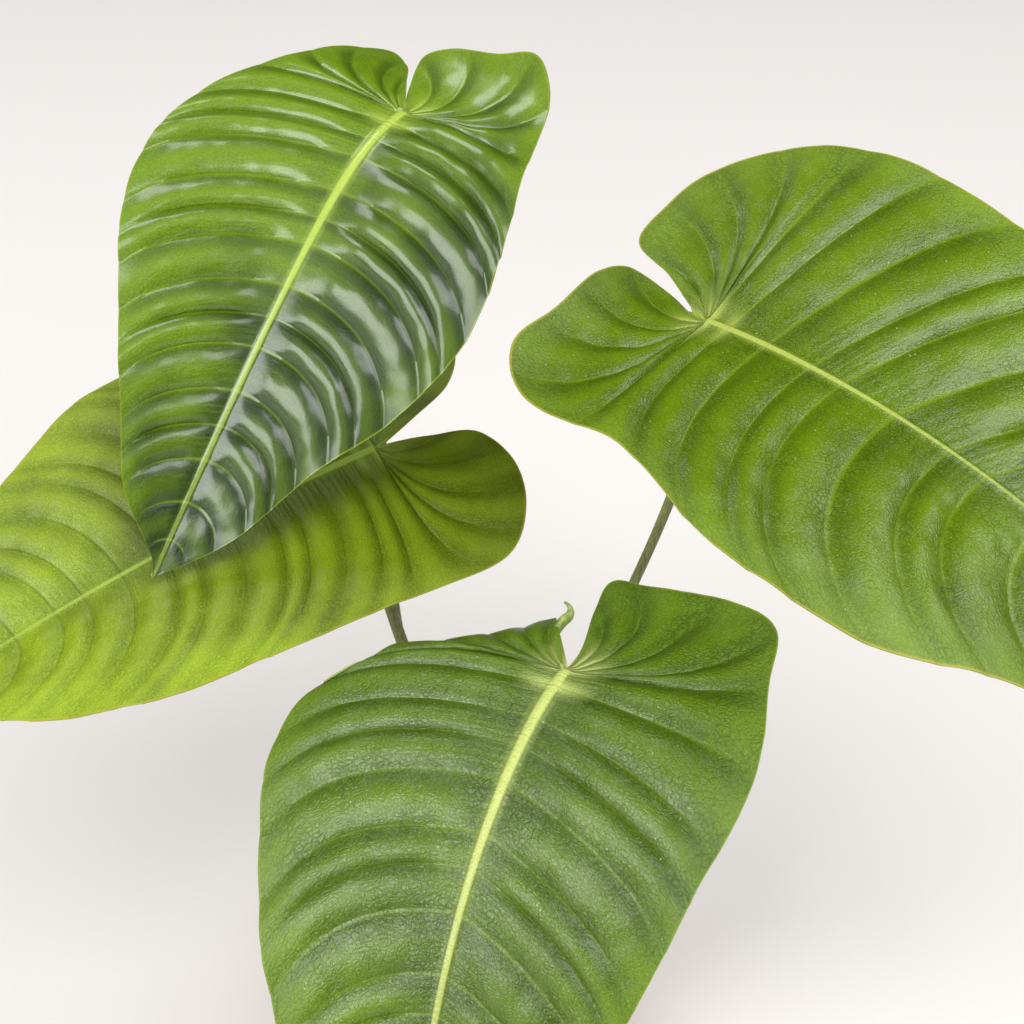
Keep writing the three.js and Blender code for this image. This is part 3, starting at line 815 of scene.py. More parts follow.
@dataclass(frozen=True)
class ClayFinish:
    """Fired clay, with throwing lines, a chalky bloom and darker damp near the foot."""

    dark: Colour = (176, 98, 62)
    light: Colour = (198, 122, 84)
    grit: Colour = (142, 76, 48)
    bloom: Colour = (222, 196, 170)
    damp: Colour = (128, 68, 44)
    relief: float = 0.25

    def build(self) -> bpy.types.Material:
        """Build the clay.

        Returns:
            The material, which reads the place in the object in metres.
        """
        shader = Shader("fired_clay")
        place = shader.objects()
        _, _, height = shader.split(place)
        cloud = shader.noise(place, 14, 4.0)
        colour = shader.mix(shader.band(cloud, 0.3, 0.7), linear(*self.dark),
                            linear(*self.light))
        grit = shader.noise(place, 900, 2.0)
        colour = shader.mix(shader.band(grit, 0.55, 0.72, 0.0, 0.6), colour, linear(*self.grit))
        chalk = shader.noise(shader.scaled(place, 1, 1, 0.6), 26, 5.0, 0.65)
        bloom = shader.times(shader.band(chalk, 0.52, 0.7),
                             shader.band(height, 0.05, 0.14, 0.15, 0.55))
        colour = shader.mix(bloom, colour, linear(*self.bloom))
        damp = shader.band(shader.math("MULTIPLY_ADD", cloud, 0.03, height), 0.012, 0.05, 0.5, 0.0)
        colour = shader.mix(damp, colour, linear(*self.damp))
        lines = shader.noise(shader.scaled(place, 0.4, 0.4, 14), 60, 2.0)
        shader.bump(shader.total(shader.times(grit, 0.5), lines), self.relief)
        roughness = shader.math("MULTIPLY_ADD", cloud, 0.14, 0.76)
        return shader.dress(Base_Color=colour, Roughness=roughness)


@dataclass(frozen=True)
class CrumbFinish:
    """Bark, crumb, grit or dry skin: a coarse natural surface in three tones."""

    name: str
    dark: Colour
    middle: Colour
    light: Colour
    scale: float
    relief: float
    stretch: float = 1.0
    roughness: float = 0.85

    def build(self) -> bpy.types.Material:
        """Build the surface.

        Returns:
            The material, which reads the attribute tone where the piece has it.
        """
        shader = Shader(self.name)
        place = shader.scaled(shader.objects(), 1, 1, self.stretch)
        broad = shader.noise(place, self.scale * 0.25)
        fine = shader.noise(place, self.scale, 5.0, 0.65)
        colour = shader.mix(shader.band(broad, 0.35, 0.65), linear(*self.dark),
                            linear(*self.middle))
        colour = shader.mix(shader.band(fine, 0.5, 0.75, 0.0, 0.8), colour, linear(*self.light))
        tone = shader.times(shader.attribute("tone"), 0.5)
        colour = shader.mix(tone, colour, linear(*self.light))
        shader.bump(fine, self.relief)
        return shader.dress(
            Base_Color=colour,
            Roughness=shader.math("MULTIPLY_ADD", fine, 0.2, self.roughness - 0.1))


@dataclass(frozen=True)
class FloorFinish:
    """The pale ground under the plant, matt and very slightly clouded."""

    light: Colour = (217, 213, 210)
    dark: Colour = (215, 211, 208)
    relief: float = 0.05

    def build(self) -> bpy.types.Material:
        """Build the ground.

        Returns:
            The material.
        """
        shader = Shader("pale_ground")
        cloud = shader.noise(shader.objects(), 1.2, 2.0)
        colour = shader.mix(cloud, linear(*self.light), linear(*self.dark))
        shader.bump(shader.noise(shader.objects(), 300, 2.0), self.relief)
        return shader.dress(Base_Color=colour, Roughness=0.95, Specular_IOR_Level=0.1)


# Leaf blades

@dataclass(frozen=True)
class Curl:
    """Rolls a half under beyond a line, from a point on it, the way across it and the radius."""

    along: float
    out: float
    turn: float
    radius: float


@dataclass(frozen=True)
class Half:
    """One half of a blade. The outline runs from the sinus round the lobe to the tip.

    The veins of the basal fan reach fan of the way round the margin, the side veins are spread
    over the rest with the power spread, and they lean towards the tip as they leave the midrib.
    """

    sign: int
    lobe_droop: float
    fold: float
    tip_fold: float
    arch: float
    fan: float
    spread: float
    lean: float
    outline: tuple[tuple[float, float], ...]
    curl: Curl | None = None


@dataclass(frozen=True)
class Petiole:
    """The stalk of a leaf, a cubic curve from the crown to the blade."""

    foot: Place
    bend: tuple[Place, Place]
    radius: float
    seat: float

    KNEE = (12, 28)
    KNEE_SWELLING = 0.32
    FOOT_LENGTH = 45
    FOOT_SWELLING = 0.3
    GROOVES = 5
    GROOVE_DEPTH = 0.035
    GROOVE_TWIST = 0.02
    STATIONS = 90

    def centre(self, top: np.ndarray) -> np.ndarray:
        """Give the middle line up to the top, in millimetres.

        Args:
            top: Where the stalk ends.

        Returns:
            Points from the foot up.
        """
        controls = np.array([self.foot, *self.bend, top])
        t = np.linspace(0, 1, self.STATIONS)[:, None]
        return ((1 - t) ** 3 * controls[0] + 3 * t * (1 - t) ** 2 * controls[1]
                + 3 * t * t * (1 - t) * controls[2] + t ** 3 * controls[3])

    def build(self, name: str, top: np.ndarray) -> bpy.types.Object:
        """Model the stalk as a bevelled curve with a swollen foot and knee and shallow grooves.

        Args:
            name: The piece's name.
            top: Where the stalk ends, under the blade.

        Returns:
            The stalk, with the attributes to_top and to_foot.
        """
        centre = self.centre(top)
        steps = np.linalg.norm(np.diff(centre, axis=0), axis=1)
        travelled = np.concatenate([[0], np.cumsum(steps)])
        to_top = travelled[-1] - travelled
        foot = 1 - smooth(travelled, 0, self.FOOT_LENGTH)
        knee = 1 - smooth(to_top, *self.KNEE)
        radius = self.radius * (1 + self.FOOT_SWELLING * foot + self.KNEE_SWELLING * knee)
        stalk = tube(name, centre, radius, 10)
        points = get_points(stalk) / MM
        nearest = np.array([np.argmin(np.sum((centre - point) ** 2, axis=1)) for point in points])
        middle = centre[nearest]
        turn = np.arctan2(points[:, 1] - middle[:, 1], points[:, 0] - middle[:, 0])
        wave = np.sin(self.GROOVES * turn + self.GROOVE_TWIST * travelled[nearest])
        groove = 1 - self.GROOVE_DEPTH * (1 + wave)
        set_points(stalk, (middle + (points - middle) * groove[:, None]) * MM)
        store(stalk, "to_top", to_top[nearest])
        store(stalk, "to_foot", travelled[nearest])
        return stalk


class SmoothCurve:
    """A smooth curve through an outline's points, read by its share of the length."""

    def __init__(self, outline: tuple[tuple[float, float], ...]) -> None:
        """Sample a centripetal Catmull-Rom curve finely.

        Args:
            outline: The points that it passes, such as along and out.
        """
        points = np.array(outline)
        first = 2 * points[0] - points[1]
        last = 2 * points[-1] - points[-2]
        padded = np.vstack([first, points, last])
        samples = []
        shares = np.linspace(0, 1, 80, endpoint=False)[:, None]
        for index in range(len(points) - 1):
            before, start, end, after = padded[index:index + 4]
            gaps = [np.linalg.norm(b - a) ** 0.5
                    for a, b in ((before, start), (start, end), (end, after))]
            leave = ((start - before) / gaps[0] - (end - before) / (gaps[0] + gaps[1])
                     + (end - start) / gaps[1]) * gaps[1]
            arrive = ((end - start) / gaps[1] - (after - start) / (gaps[1] + gaps[2])
                      + (after - end) / gaps[2]) * gaps[1]
            samples.append(start + leave * shares
                           + (3 * (end - start) - 2 * leave - arrive) * shares ** 2
                           + (2 * (start - end) + leave + arrive) * shares ** 3)
        self.points = np.vstack([*samples, points[-1:]])
        steps = np.linalg.norm(np.diff(self.points, axis=0), axis=1)
        self.lengths = np.concatenate([[0], np.cumsum(steps)])
        self.lengths /= self.lengths[-1]

    def at(self, share: np.ndarray) -> tuple[np.ndarray, np.ndarray]:
        """Give the first and second coordinate at each share of the curve's length."""
        return (np.interp(share, self.lengths, self.points[:, 0]),
                np.interp(share, self.lengths, self.points[:, 1]))


@dataclass
class Leaf:
    """A leaf: its blade's place, bends, quilting and outline, its stalk and its finish."""

    number: int
    junction: Place
    length: float
    heading: float
    pitch: float
    roll: float
    neck: float
    droop: float
    sweep: float
    twist: float
    ridges: int
    ridge_height: float
    margin_wave: float
    seed: float
    left: Half
    right: Half
    petiole: Petiole
    finish: LeafFinish
    slot: Slot
    ripple: float

    NECK_LENGTH = 30.0
    LOBE_BEND_LENGTH = 60.0
    ARCH_HALF_WIDTH = 100.0
    FAN_RIDGES = 5
    FAN_PULL = 0.6
    LATERAL_OUT = 0.8
    ROOT_CROWDING = 1.25
    UNEVEN_ROWS = 0.16
    UNEVEN_RATE = 2.1
    WAVE_RATE = 1.9
    CROWN_SHARPNESS = 0.75
    CROWN_LEVEL = 0.6
    SPINE_STEP = 2.0
    LOBE_REACH = 110.0
    MIDRIB_REACH = 1.05
    THICKNESS = 0.9
    KEEL = (1.7, 0.4)
    MIDRIB = (1.5, 0.4)
    MIDRIB_HALF_WIDTH = 4.5
    VEIN_KEEL = 0.45
    RIPPLE_WAVES = (9.0, 26.0)
    ROWS_PER_RIDGE = 15
    COLUMNS = 58
    CROWDING = 1.5
    PLAN_SCALE = 0.01
    SHEET_WELD = 0.00004

    def __post_init__(self) -> None:
        """Walk the midrib and sample the margins."""
        self.origin = np.array(self.junction, float)
        self.margins = {half.sign: SmoothCurve(half.outline) for half in (self.left, self.right)}
        self.spines = {}
        for half in (self.left, self.right):
            ahead = self.walk(half, 1, self.length * self.MIDRIB_REACH)
            behind = self.walk(half, -1, self.LOBE_REACH)
            places = np.concatenate([-self.SPINE_STEP * np.arange(len(behind) - 1, 0, -1),
                                     self.SPINE_STEP * np.arange(len(ahead))])
            self.spines[half.sign] = (places, np.vstack([behind[:0:-1], ahead]))

    def directions(self, half: Half, along: np.ndarray) -> tuple[np.ndarray, ...]:
        """Give the blade's directions along the midrib.

        Args:
            half: The half of the blade, for its lobe's droop.
            along: Distance along the midrib; behind the junction it is negative.

        Returns:
            Rows that point forward, left, and up out of the blade.
        """
        ahead = np.maximum(along, 0) / self.length
        behind = np.minimum(along, 0) / self.LOBE_BEND_LENGTH
        neck = self.neck * np.exp(-np.maximum(along, 0) / self.NECK_LENGTH)
        pitch = np.radians(self.pitch - neck + self.droop * ahead + half.lobe_droop * behind)
        heading = np.radians(self.heading + self.sweep * ahead)
        roll = np.radians(self.roll + self.twist * ahead)[:, None]
        forward = np.stack([np.cos(heading) * np.cos(pitch), np.sin(heading) * np.cos(pitch),
                            -np.sin(pitch)], axis=1)
        upright = np.stack([np.cos(heading) * np.sin(pitch), np.sin(heading) * np.sin(pitch),
                            np.cos(pitch)], axis=1)
        level = np.cross(upright, forward)
        left = np.cos(roll) * level + np.sin(roll) * upright
        up = np.cos(roll) * upright - np.sin(roll) * level
        return forward, left, up

    def walk(self, half: Half, direction: int, reach: float) -> np.ndarray:
        """Step along the midrib line from the junction.

        Args:
            half: The half of the blade.
            direction: 1 towards the tip or -1 into the lobes.
            reach: How far to go.

        Returns:
            The points, the junction first.
        """
        middles = np.arange(self.SPINE_STEP / 2, reach, self.SPINE_STEP)
        forward, _, _ = self.directions(half, direction * middles)
        steps = direction * self.SPINE_STEP * forward
        return np.vstack([self.origin, self.origin + np.cumsum(steps, axis=0)])

    def bend_flat(self, half: Half, along: np.ndarray, out: np.ndarray,
                  height: np.ndarray) -> tuple[np.ndarray, ...]:
        """Bend a flat place of the blade to its fold, arch and midrib.

        Args:
            half: The half of the blade.
            along: Distance along the midrib.
            out: Distance from the midrib.
            height: Distance above the sheet.

        Returns:
            Points, normals, ways up at the midrib, forward, and outward in the sheet.
        """
        share = np.clip(along / self.length, -0.2, 1)
        start = np.radians(half.fold + (half.tip_fold - half.fold) * share)
        curvature = math.radians(half.arch or 0.01) / self.ARCH_HALF_WIDTH
        slope = start - curvature * out
        across = ((np.sin(start) - np.sin(slope)) / curvature)[:, None]
        rise = ((np.cos(slope) - np.cos(start)) / curvature)[:, None]
        forward, left, up = self.directions(half, along)
        flat, steep = np.cos(slope)[:, None], np.sin(slope)[:, None]
        normal = up * flat - half.sign * left * steep
        outward = half.sign * left * flat + up * steep
        places, spine = self.spines[half.sign]
        middle = np.stack([np.interp(along, places, spine[:, axis]) for axis in range(3)], axis=1)
        point = middle + half.sign * left * across + up * rise + normal * height[:, None]
        return point, normal, up, forward, outward

    def bend(self, half: Half, along: np.ndarray, out: np.ndarray) -> tuple[np.ndarray, ...]:
        """Bend the sheet, curl included.

        Args:
            half: The half of the blade.
            along: Distance along the midrib.
            out: Distance from the midrib.

        Returns:
            Points, normals, and ways up at the midrib.
        """
        if half.curl is None:
            return self.bend_flat(half, along, out, np.zeros_like(along))[:3]
        way_along = math.cos(math.radians(half.curl.turn))
        way_out = math.sin(math.radians(half.curl.turn))
        beyond = np.maximum((along - half.curl.along) * way_along
                            + (out - half.curl.out) * way_out, 0)
        rolled = beyond / half.curl.radius
        back = half.curl.radius * np.sin(rolled) - beyond
        drop = half.curl.radius * (np.cos(rolled) - 1)
        point, normal, up, forward, outward = self.bend_flat(
            half, along + back * way_along, out + back * way_out, drop)
        way = forward * way_along + outward * way_out
        normal = normal * np.cos(rolled)[:, None] + way * np.sin(rolled)[:, None]
        return point, normal, up

    def order(self, row: np.ndarray) -> tuple[np.ndarray, np.ndarray]:
        """Give each row's share of the basal fan and its share of the side veins.

        Args:
            row: Which vein or ridge, counted from the sinus.

        Returns:
            Both shares, of 0 to 1.
        """
        rows = self.FAN_RIDGES + self.ridges
        uneven = np.sin(self.UNEVEN_RATE * row + self.seed) * np.sin(np.pi * row / rows)
        shifted = row + self.UNEVEN_ROWS * uneven
        return (np.clip(shifted / self.FAN_RIDGES, 0, 1),
                np.clip((shifted - self.FAN_RIDGES) / self.ridges, 0, 1))

    def vein_point(self, half: Half, row: np.ndarray,
                   share: np.ndarray) -> tuple[np.ndarray, np.ndarray]:
        """Give the flat place at a share of the way out along a row's vein.

        Args:
            half: The half of the blade.
            row: Which vein or ridge, counted from the sinus.
            share: How far out, from the midrib at 0 to the margin at 1.

        Returns:
            Along and out.
        """
        fan_share, side_share = self.order(row)
        around = half.fan * fan_share + (1 - half.fan) * side_share ** half.spread
        margin_along, margin_out = self.margins[half.sign].at(around)
        root = self.length * side_share ** self.ROOT_CROWDING
        lateral_along = root + half.lean * (margin_along - root)
        lateral_out = self.LATERAL_OUT * margin_out

        last_along, last_out = self.margins[half.sign].at(np.array([half.fan]))
        last = np.array([half.lean * last_along[0], self.LATERAL_OUT * last_out[0]])
        last_reach = math.hypot(*last) / math.hypot(last_along[0], last_out[0])
        turn = np.arctan2(margin_out, margin_along) % (2 * np.pi)
        way = turn + (math.atan2(last[1], last[0]) - turn) * np.sqrt(fan_share)
        pull = self.FAN_PULL + (last_reach - self.FAN_PULL) * fan_share
        reach = pull * np.hypot(margin_along, margin_out)
        in_fan = fan_share < 1
        control_along = np.where(in_fan, reach * np.cos(way), lateral_along)
        control_out = np.where(in_fan, reach * np.sin(way), lateral_out)

        rest = 1 - share
        along = (rest * rest * root + 2 * share * rest * control_along
                 + share * share * margin_along)
        out = 2 * share * rest * control_out + share * share * margin_out
        return along, out

    def quilting(self, row: np.ndarray, share: np.ndarray) -> np.ndarray:
        """Raise the blade between its side veins, calm at the midrib, margin and tip.

        Args:
            row: Which vein or ridge, counted from the sinus.
            share: How far out, from the midrib at 0 to the margin at 1.

        Returns:
            Heights in millimetres, with the margin's wave.
        """
        rows = self.FAN_RIDGES + self.ridges
        crown = np.abs(np.sin(np.pi * row)) ** self.CROWN_SHARPNESS - self.CROWN_LEVEL
        across = smooth(share, 0.01, 0.24) * (1 - 0.72 * smooth(share, 0.6, 1))
        basal = 0.4 + 0.6 * smooth(row / self.FAN_RIDGES, 0.3, 1.3)
        apical = smooth(1 - row / rows, 0, 0.22)
        wave = np.sin(self.WAVE_RATE * row + self.seed)
        wave = self.margin_wave * wave * share * share * apical
        return self.ridge_height * crown * across * basal * apical + wave

    def skin(self, half: Half, row: np.ndarray,
             share: np.ndarray) -> tuple[np.ndarray, np.ndarray, np.ndarray, np.ndarray]:
        """Give the upper face at each row and share.

        Args:
            half: The half of the blade.
            row: Which vein or ridge, counted from the sinus.
            share: How far out, from the midrib at 0 to the margin at 1.

        Returns:
            Points, along, out, and the thickness below each point.
        """
        along, out = self.vein_point(half, row, share)
        point, normal, up = self.bend(half, along, out)
        tipward = np.clip(along / self.length, 0, 1)
        from_rib = np.hypot(np.minimum(along, 0), out)
        rib_width = self.MIDRIB_HALF_WIDTH * (1 - 0.6 * tipward)
        near = smooth(1 - from_rib / rib_width, 0, 1)
        rib = (self.MIDRIB[0] + (self.MIDRIB[1] - self.MIDRIB[0]) * tipward) * near
        keel = (self.KEEL[0] + (self.KEEL[1] - self.KEEL[0]) * tipward) * near
        blend = smooth(from_rib, 0, 3 * rib_width)[:, None]
        way = unit(up + (normal - up) * blend)
        fine = ripples(along, half.sign * out, self.RIPPLE_WAVES, int(self.seed * 10) + 3)
        fine *= self.ripple * smooth(share, 0.02, 0.2) * (1 - 0.7 * smooth(share, 0.8, 1))
        height = self.quilting(row, share) + rib + fine
        off_vein = np.abs((row + 0.5) % 1 - 0.5)
        vein_keel = self.VEIN_KEEL * (1 - smooth(off_vein, 0.02, 0.10)) * (1 - share)
        vein_keel *= smooth(share, 0.02, 0.1)
        return point + way * height[:, None], along, out, self.THICKNESS + rib + keel + vein_keel

    def blade(self) -> bpy.types.Object:
        """Model the blade from a flat grid, a column for each share and a row for each step.

        Returns:
            The blade, with the maps plan and veins and the attribute under.
        """
        rows = (self.FAN_RIDGES + self.ridges) * self.ROWS_PER_RIDGE
        columns = self.COLUMNS
        deselect()
        bpy.ops.mesh.primitive_grid_add(x_subdivisions=2 * columns, y_subdivisions=rows, size=2)
        blade = bpy.context.object
        blade.name = blade.data.name = f"leaf_blade_{self.number}"
        flat = get_points(blade)
        column = np.rint((flat[:, 0] + 1) * columns).astype(int)
        row = (flat[:, 1] + 1) / 2 * rows / self.ROWS_PER_RIDGE
        share = (np.abs(column - columns) / columns) ** self.CROWDING
        is_left = column <= columns
        left, right = (self.skin(half, row, share) for half in (self.left, self.right))
        points = np.where(is_left[:, None], left[0], right[0])
        along, out, thickness = (np.where(is_left, ours, theirs)
                                 for ours, theirs in zip(left[1:], right[1:]))
        sinus = row < 1e-6
        points[sinus] = (left[0][sinus] + right[0][sinus]) / 2
        set_points(blade, points * MM)
        plan = np.stack([along, np.where(is_left, out, -out)], axis=1) * self.PLAN_SCALE
        self.store_maps(blade, plan, np.stack([row, share], axis=1))
        self.thicken(blade, thickness)
        return blade

    def store_maps(self, blade: bpy.types.Object, plan: np.ndarray, veins: np.ndarray) -> None:
        """Keep the maps that the leaf's skin reads.

        Args:
            blade: The shaped sheet.
            plan: Each vertex's distances along and out, in decimetres.
            veins: Each vertex's row and share.
        """
        corners = np.empty(len(blade.data.loops), dtype=int)
        blade.data.loops.foreach_get("vertex_index", corners)
        layers = blade.data.uv_layers
        layers[0].name = "plan"
        layers.new(name="veins")
        for name, values in (("plan", plan), ("veins", veins)):
            layers[name].data.foreach_set("uv", values[corners].astype(np.float32).ravel())

    def thicken(self, blade: bpy.types.Object, thickness: np.ndarray) -> None:
        """Weld the sheet's halves and give it its thickness downwards.

        Args:
            blade: The shaped sheet.
            thickness: Each vertex's thickness in millimetres.
        """
        weights = blade.vertex_groups.new(name="thickness")
        for index, weight in enumerate(thickness / thickness.max()):
            weights.add([index], float(weight), "REPLACE")
        weld(blade, self.SHEET_WELD)
        upper = len(blade.data.vertices)
        sheet = blade.modifiers.new("sheet", "SOLIDIFY")
        sheet.thickness = thickness.max() * MM
        sheet.offset = -1
        sheet.vertex_group = "thickness"
        sheet.thickness_vertex_group = 0
        apply_modifiers(blade)
        below = np.zeros(len(blade.data.vertices))
        below[upper:] = 1
        store(blade, "under", below)
        smooth_faces(55)

    def build(self, stalk_skin: bpy.types.Material) -> None:
        """Build and dress the blade and its petiole.

        Args:
            stalk_skin: The look of the petiole, which all leaves share.
        """
        finish_piece(self.blade(), self.finish.build(), self.slot, f"blade_{self.number}")
        _, _, up = self.directions(self.left, np.zeros(1))
        top = self.origin - up[0] * self.petiole.seat
        stalk = self.petiole.build(f"leaf_petiole_{self.number}", top)
        finish_piece(stalk, stalk_skin, Slot.PETIOLE, f"petiole_{self.number}")


def tube(name: str, centre: np.ndarray, radius: np.ndarray, roundness: int) -> bpy.types.Object:
    """Model a round closed tube with its own radius along the way.

    Args:
        name: The piece's name.
        centre: Points of the middle line, in millimetres.
        radius: Radius at each point, in millimetres.
        roundness: Bevel resolution of the curve.

    Returns:
        The tube as a mesh.
    """
    curve = bpy.data.curves.new(name, "CURVE")
    curve.dimensions = "3D"
    curve.bevel_depth = MM
    curve.bevel_resolution = roundness
    curve.use_fill_caps = True
    spline = curve.splines.new("POLY")
    spline.points.add(len(centre) - 1)
    for point, place, size in zip(spline.points, centre * MM, radius):
        point.co = (*place, 1)
        point.radius = size
    activate(link_new(name, curve))
    bpy.ops.object.convert(target="MESH")
    piece = bpy.context.object
    piece.name = piece.data.name = name
    weld(piece, outwards=True)
    smooth_faces(60)
    return piece


def spun(name: str, profile: list[tuple[float, float]], steps: int) -> bpy.types.Object:
    """Spin a profile round the upright axis.

    Args:
        name: The piece's name.
        profile: Radius and height of each point, in millimetres.
        steps: Number of sides.

    Returns:
        The closed piece.
    """
    mesh = bpy.data.meshes.new(name)
    points = [(radius * MM, 0, height * MM) for radius, height in profile]
    mesh.from_pydata(points, [(i, i + 1) for i in range(len(points) - 1)], [])
    piece = link_new(name, mesh)
    activate(piece)
    bpy.ops.object.mode_set(mode="EDIT")
    bpy.ops.mesh.select_all(action="SELECT")
    bpy.ops.mesh.spin(steps=steps, angle=2 * math.pi, center=(0, 0, 0), axis=(0, 0, 1))
    weld(piece, outwards=True)
    smooth_faces(40)
    return piece


# Pot

@dataclass
class Pot:
    """A plain thrown clay pot with a rim and three drain holes."""

    height: float = 150
    foot_radius: float = 58
    body_top_radius: float = 78
    rim_radius: float = 82
    rim_height: float = 24
    wall: float = 6
    floor: float = 9
    holes: int = 3
    hole_radius: float = 5
    hole_ring: float = 32
    steps: int = 128

    def outer(self, height: float) -> float:
        """Give the body's radius at a height."""
        return self.foot_radius + (self.body_top_radius - self.foot_radius) * height / self.height

    def inner(self, height: float) -> float:
        """Give the radius inside the wall at a height."""
        return self.outer(height) - self.wall

    def profile(self) -> list[tuple[float, float]]:
        """Give the wall's section, from under the floor round the rim to the floor inside.

        Returns:
            Radius and height of each point.
        """
        foot, rim, top = self.foot_radius, self.rim_radius, self.height
        shoulder = top - self.rim_height
        under_foot = [(0, 1.2), (foot - 12, 1.2), (foot - 9, 0), (foot - 2, 0), (foot - 0.5, 0.6),
                      (foot, 2)]
        body = [(self.outer(z), z) for z in (4, 20, 40, 60, 80, 100, shoulder - 3)]
        band = [(self.outer(shoulder), shoulder - 0.2), (rim - 2.2, shoulder + 0.4),
                (rim - 0.9, shoulder + 1.4), (rim - 0.4, shoulder + 3.4),
                (rim + 0.3, shoulder + 12), (rim + 0.9, top - 4), (rim + 0.8, top - 2),
                (rim, top - 0.6), (rim - 1.4, top)]
        inside = [(self.inner(top) + 2.4, top), (self.inner(top) + 0.8, top - 0.7),
                  (self.inner(top), top - 2.4), (self.inner(top - 30), top - 30),
                  (self.inner(self.floor + 6), self.floor + 6),
                  (self.inner(self.floor) - 3, self.floor), (0, self.floor)]
        return under_foot + body + band + inside

    def build(self) -> None:
        """Spin the wall, drill the drain holes and soften the edges."""
        pot = spun("clay_pot", self.profile(), self.steps)
        for hole in range(self.holes):
            turn = 2 * math.pi * hole / self.holes + math.pi / 6
            deselect()
            bpy.ops.mesh.primitive_cylinder_add(
                vertices=32, radius=self.hole_radius * MM, depth=3 * self.floor * MM,
                location=(self.hole_ring * math.cos(turn) * MM,
                          self.hole_ring * math.sin(turn) * MM, 0))
            drill = bpy.context.object
            cut = pot.modifiers.new("drain", "BOOLEAN")
            cut.operation = "DIFFERENCE"
            cut.object = drill
            apply_modifiers(pot)
            bpy.data.objects.remove(drill)
        smooth_faces(40)
        finish_piece(pot, ClayFinish().build(), Slot.TERRACOTTA, "pot")


# Potting mix

class PartRandom:
    """The even row of numbers that lays the solids' bark chips, so that these match them."""

    FACTOR = 16807
    LIMIT = 2147483647

    def __init__(self, seed: int) -> None:
        """Start the row."""
        self.state = seed

    def __call__(self) -> float:
        """Give the next number of 0 to 1."""
        self.state = (self.state * self.FACTOR) % self.LIMIT
        return self.state / self.LIMIT


@dataclass(frozen=True)
class ChipKind:
    """How one lot of bark chips is laid, and the room that it keeps from the crown and the wall.

    A chip's length and thickness are given as the least and as how much more there may be.
    corner_draws is how many numbers the solids' chips use for their corners, which are skipped
    here so that the rest of the row still matches.
    """

    count: int
    length: tuple[float, float]
    thickness: tuple[float, float]
    from_crown: float
    from_wall: float
    corner_draws: int = 0


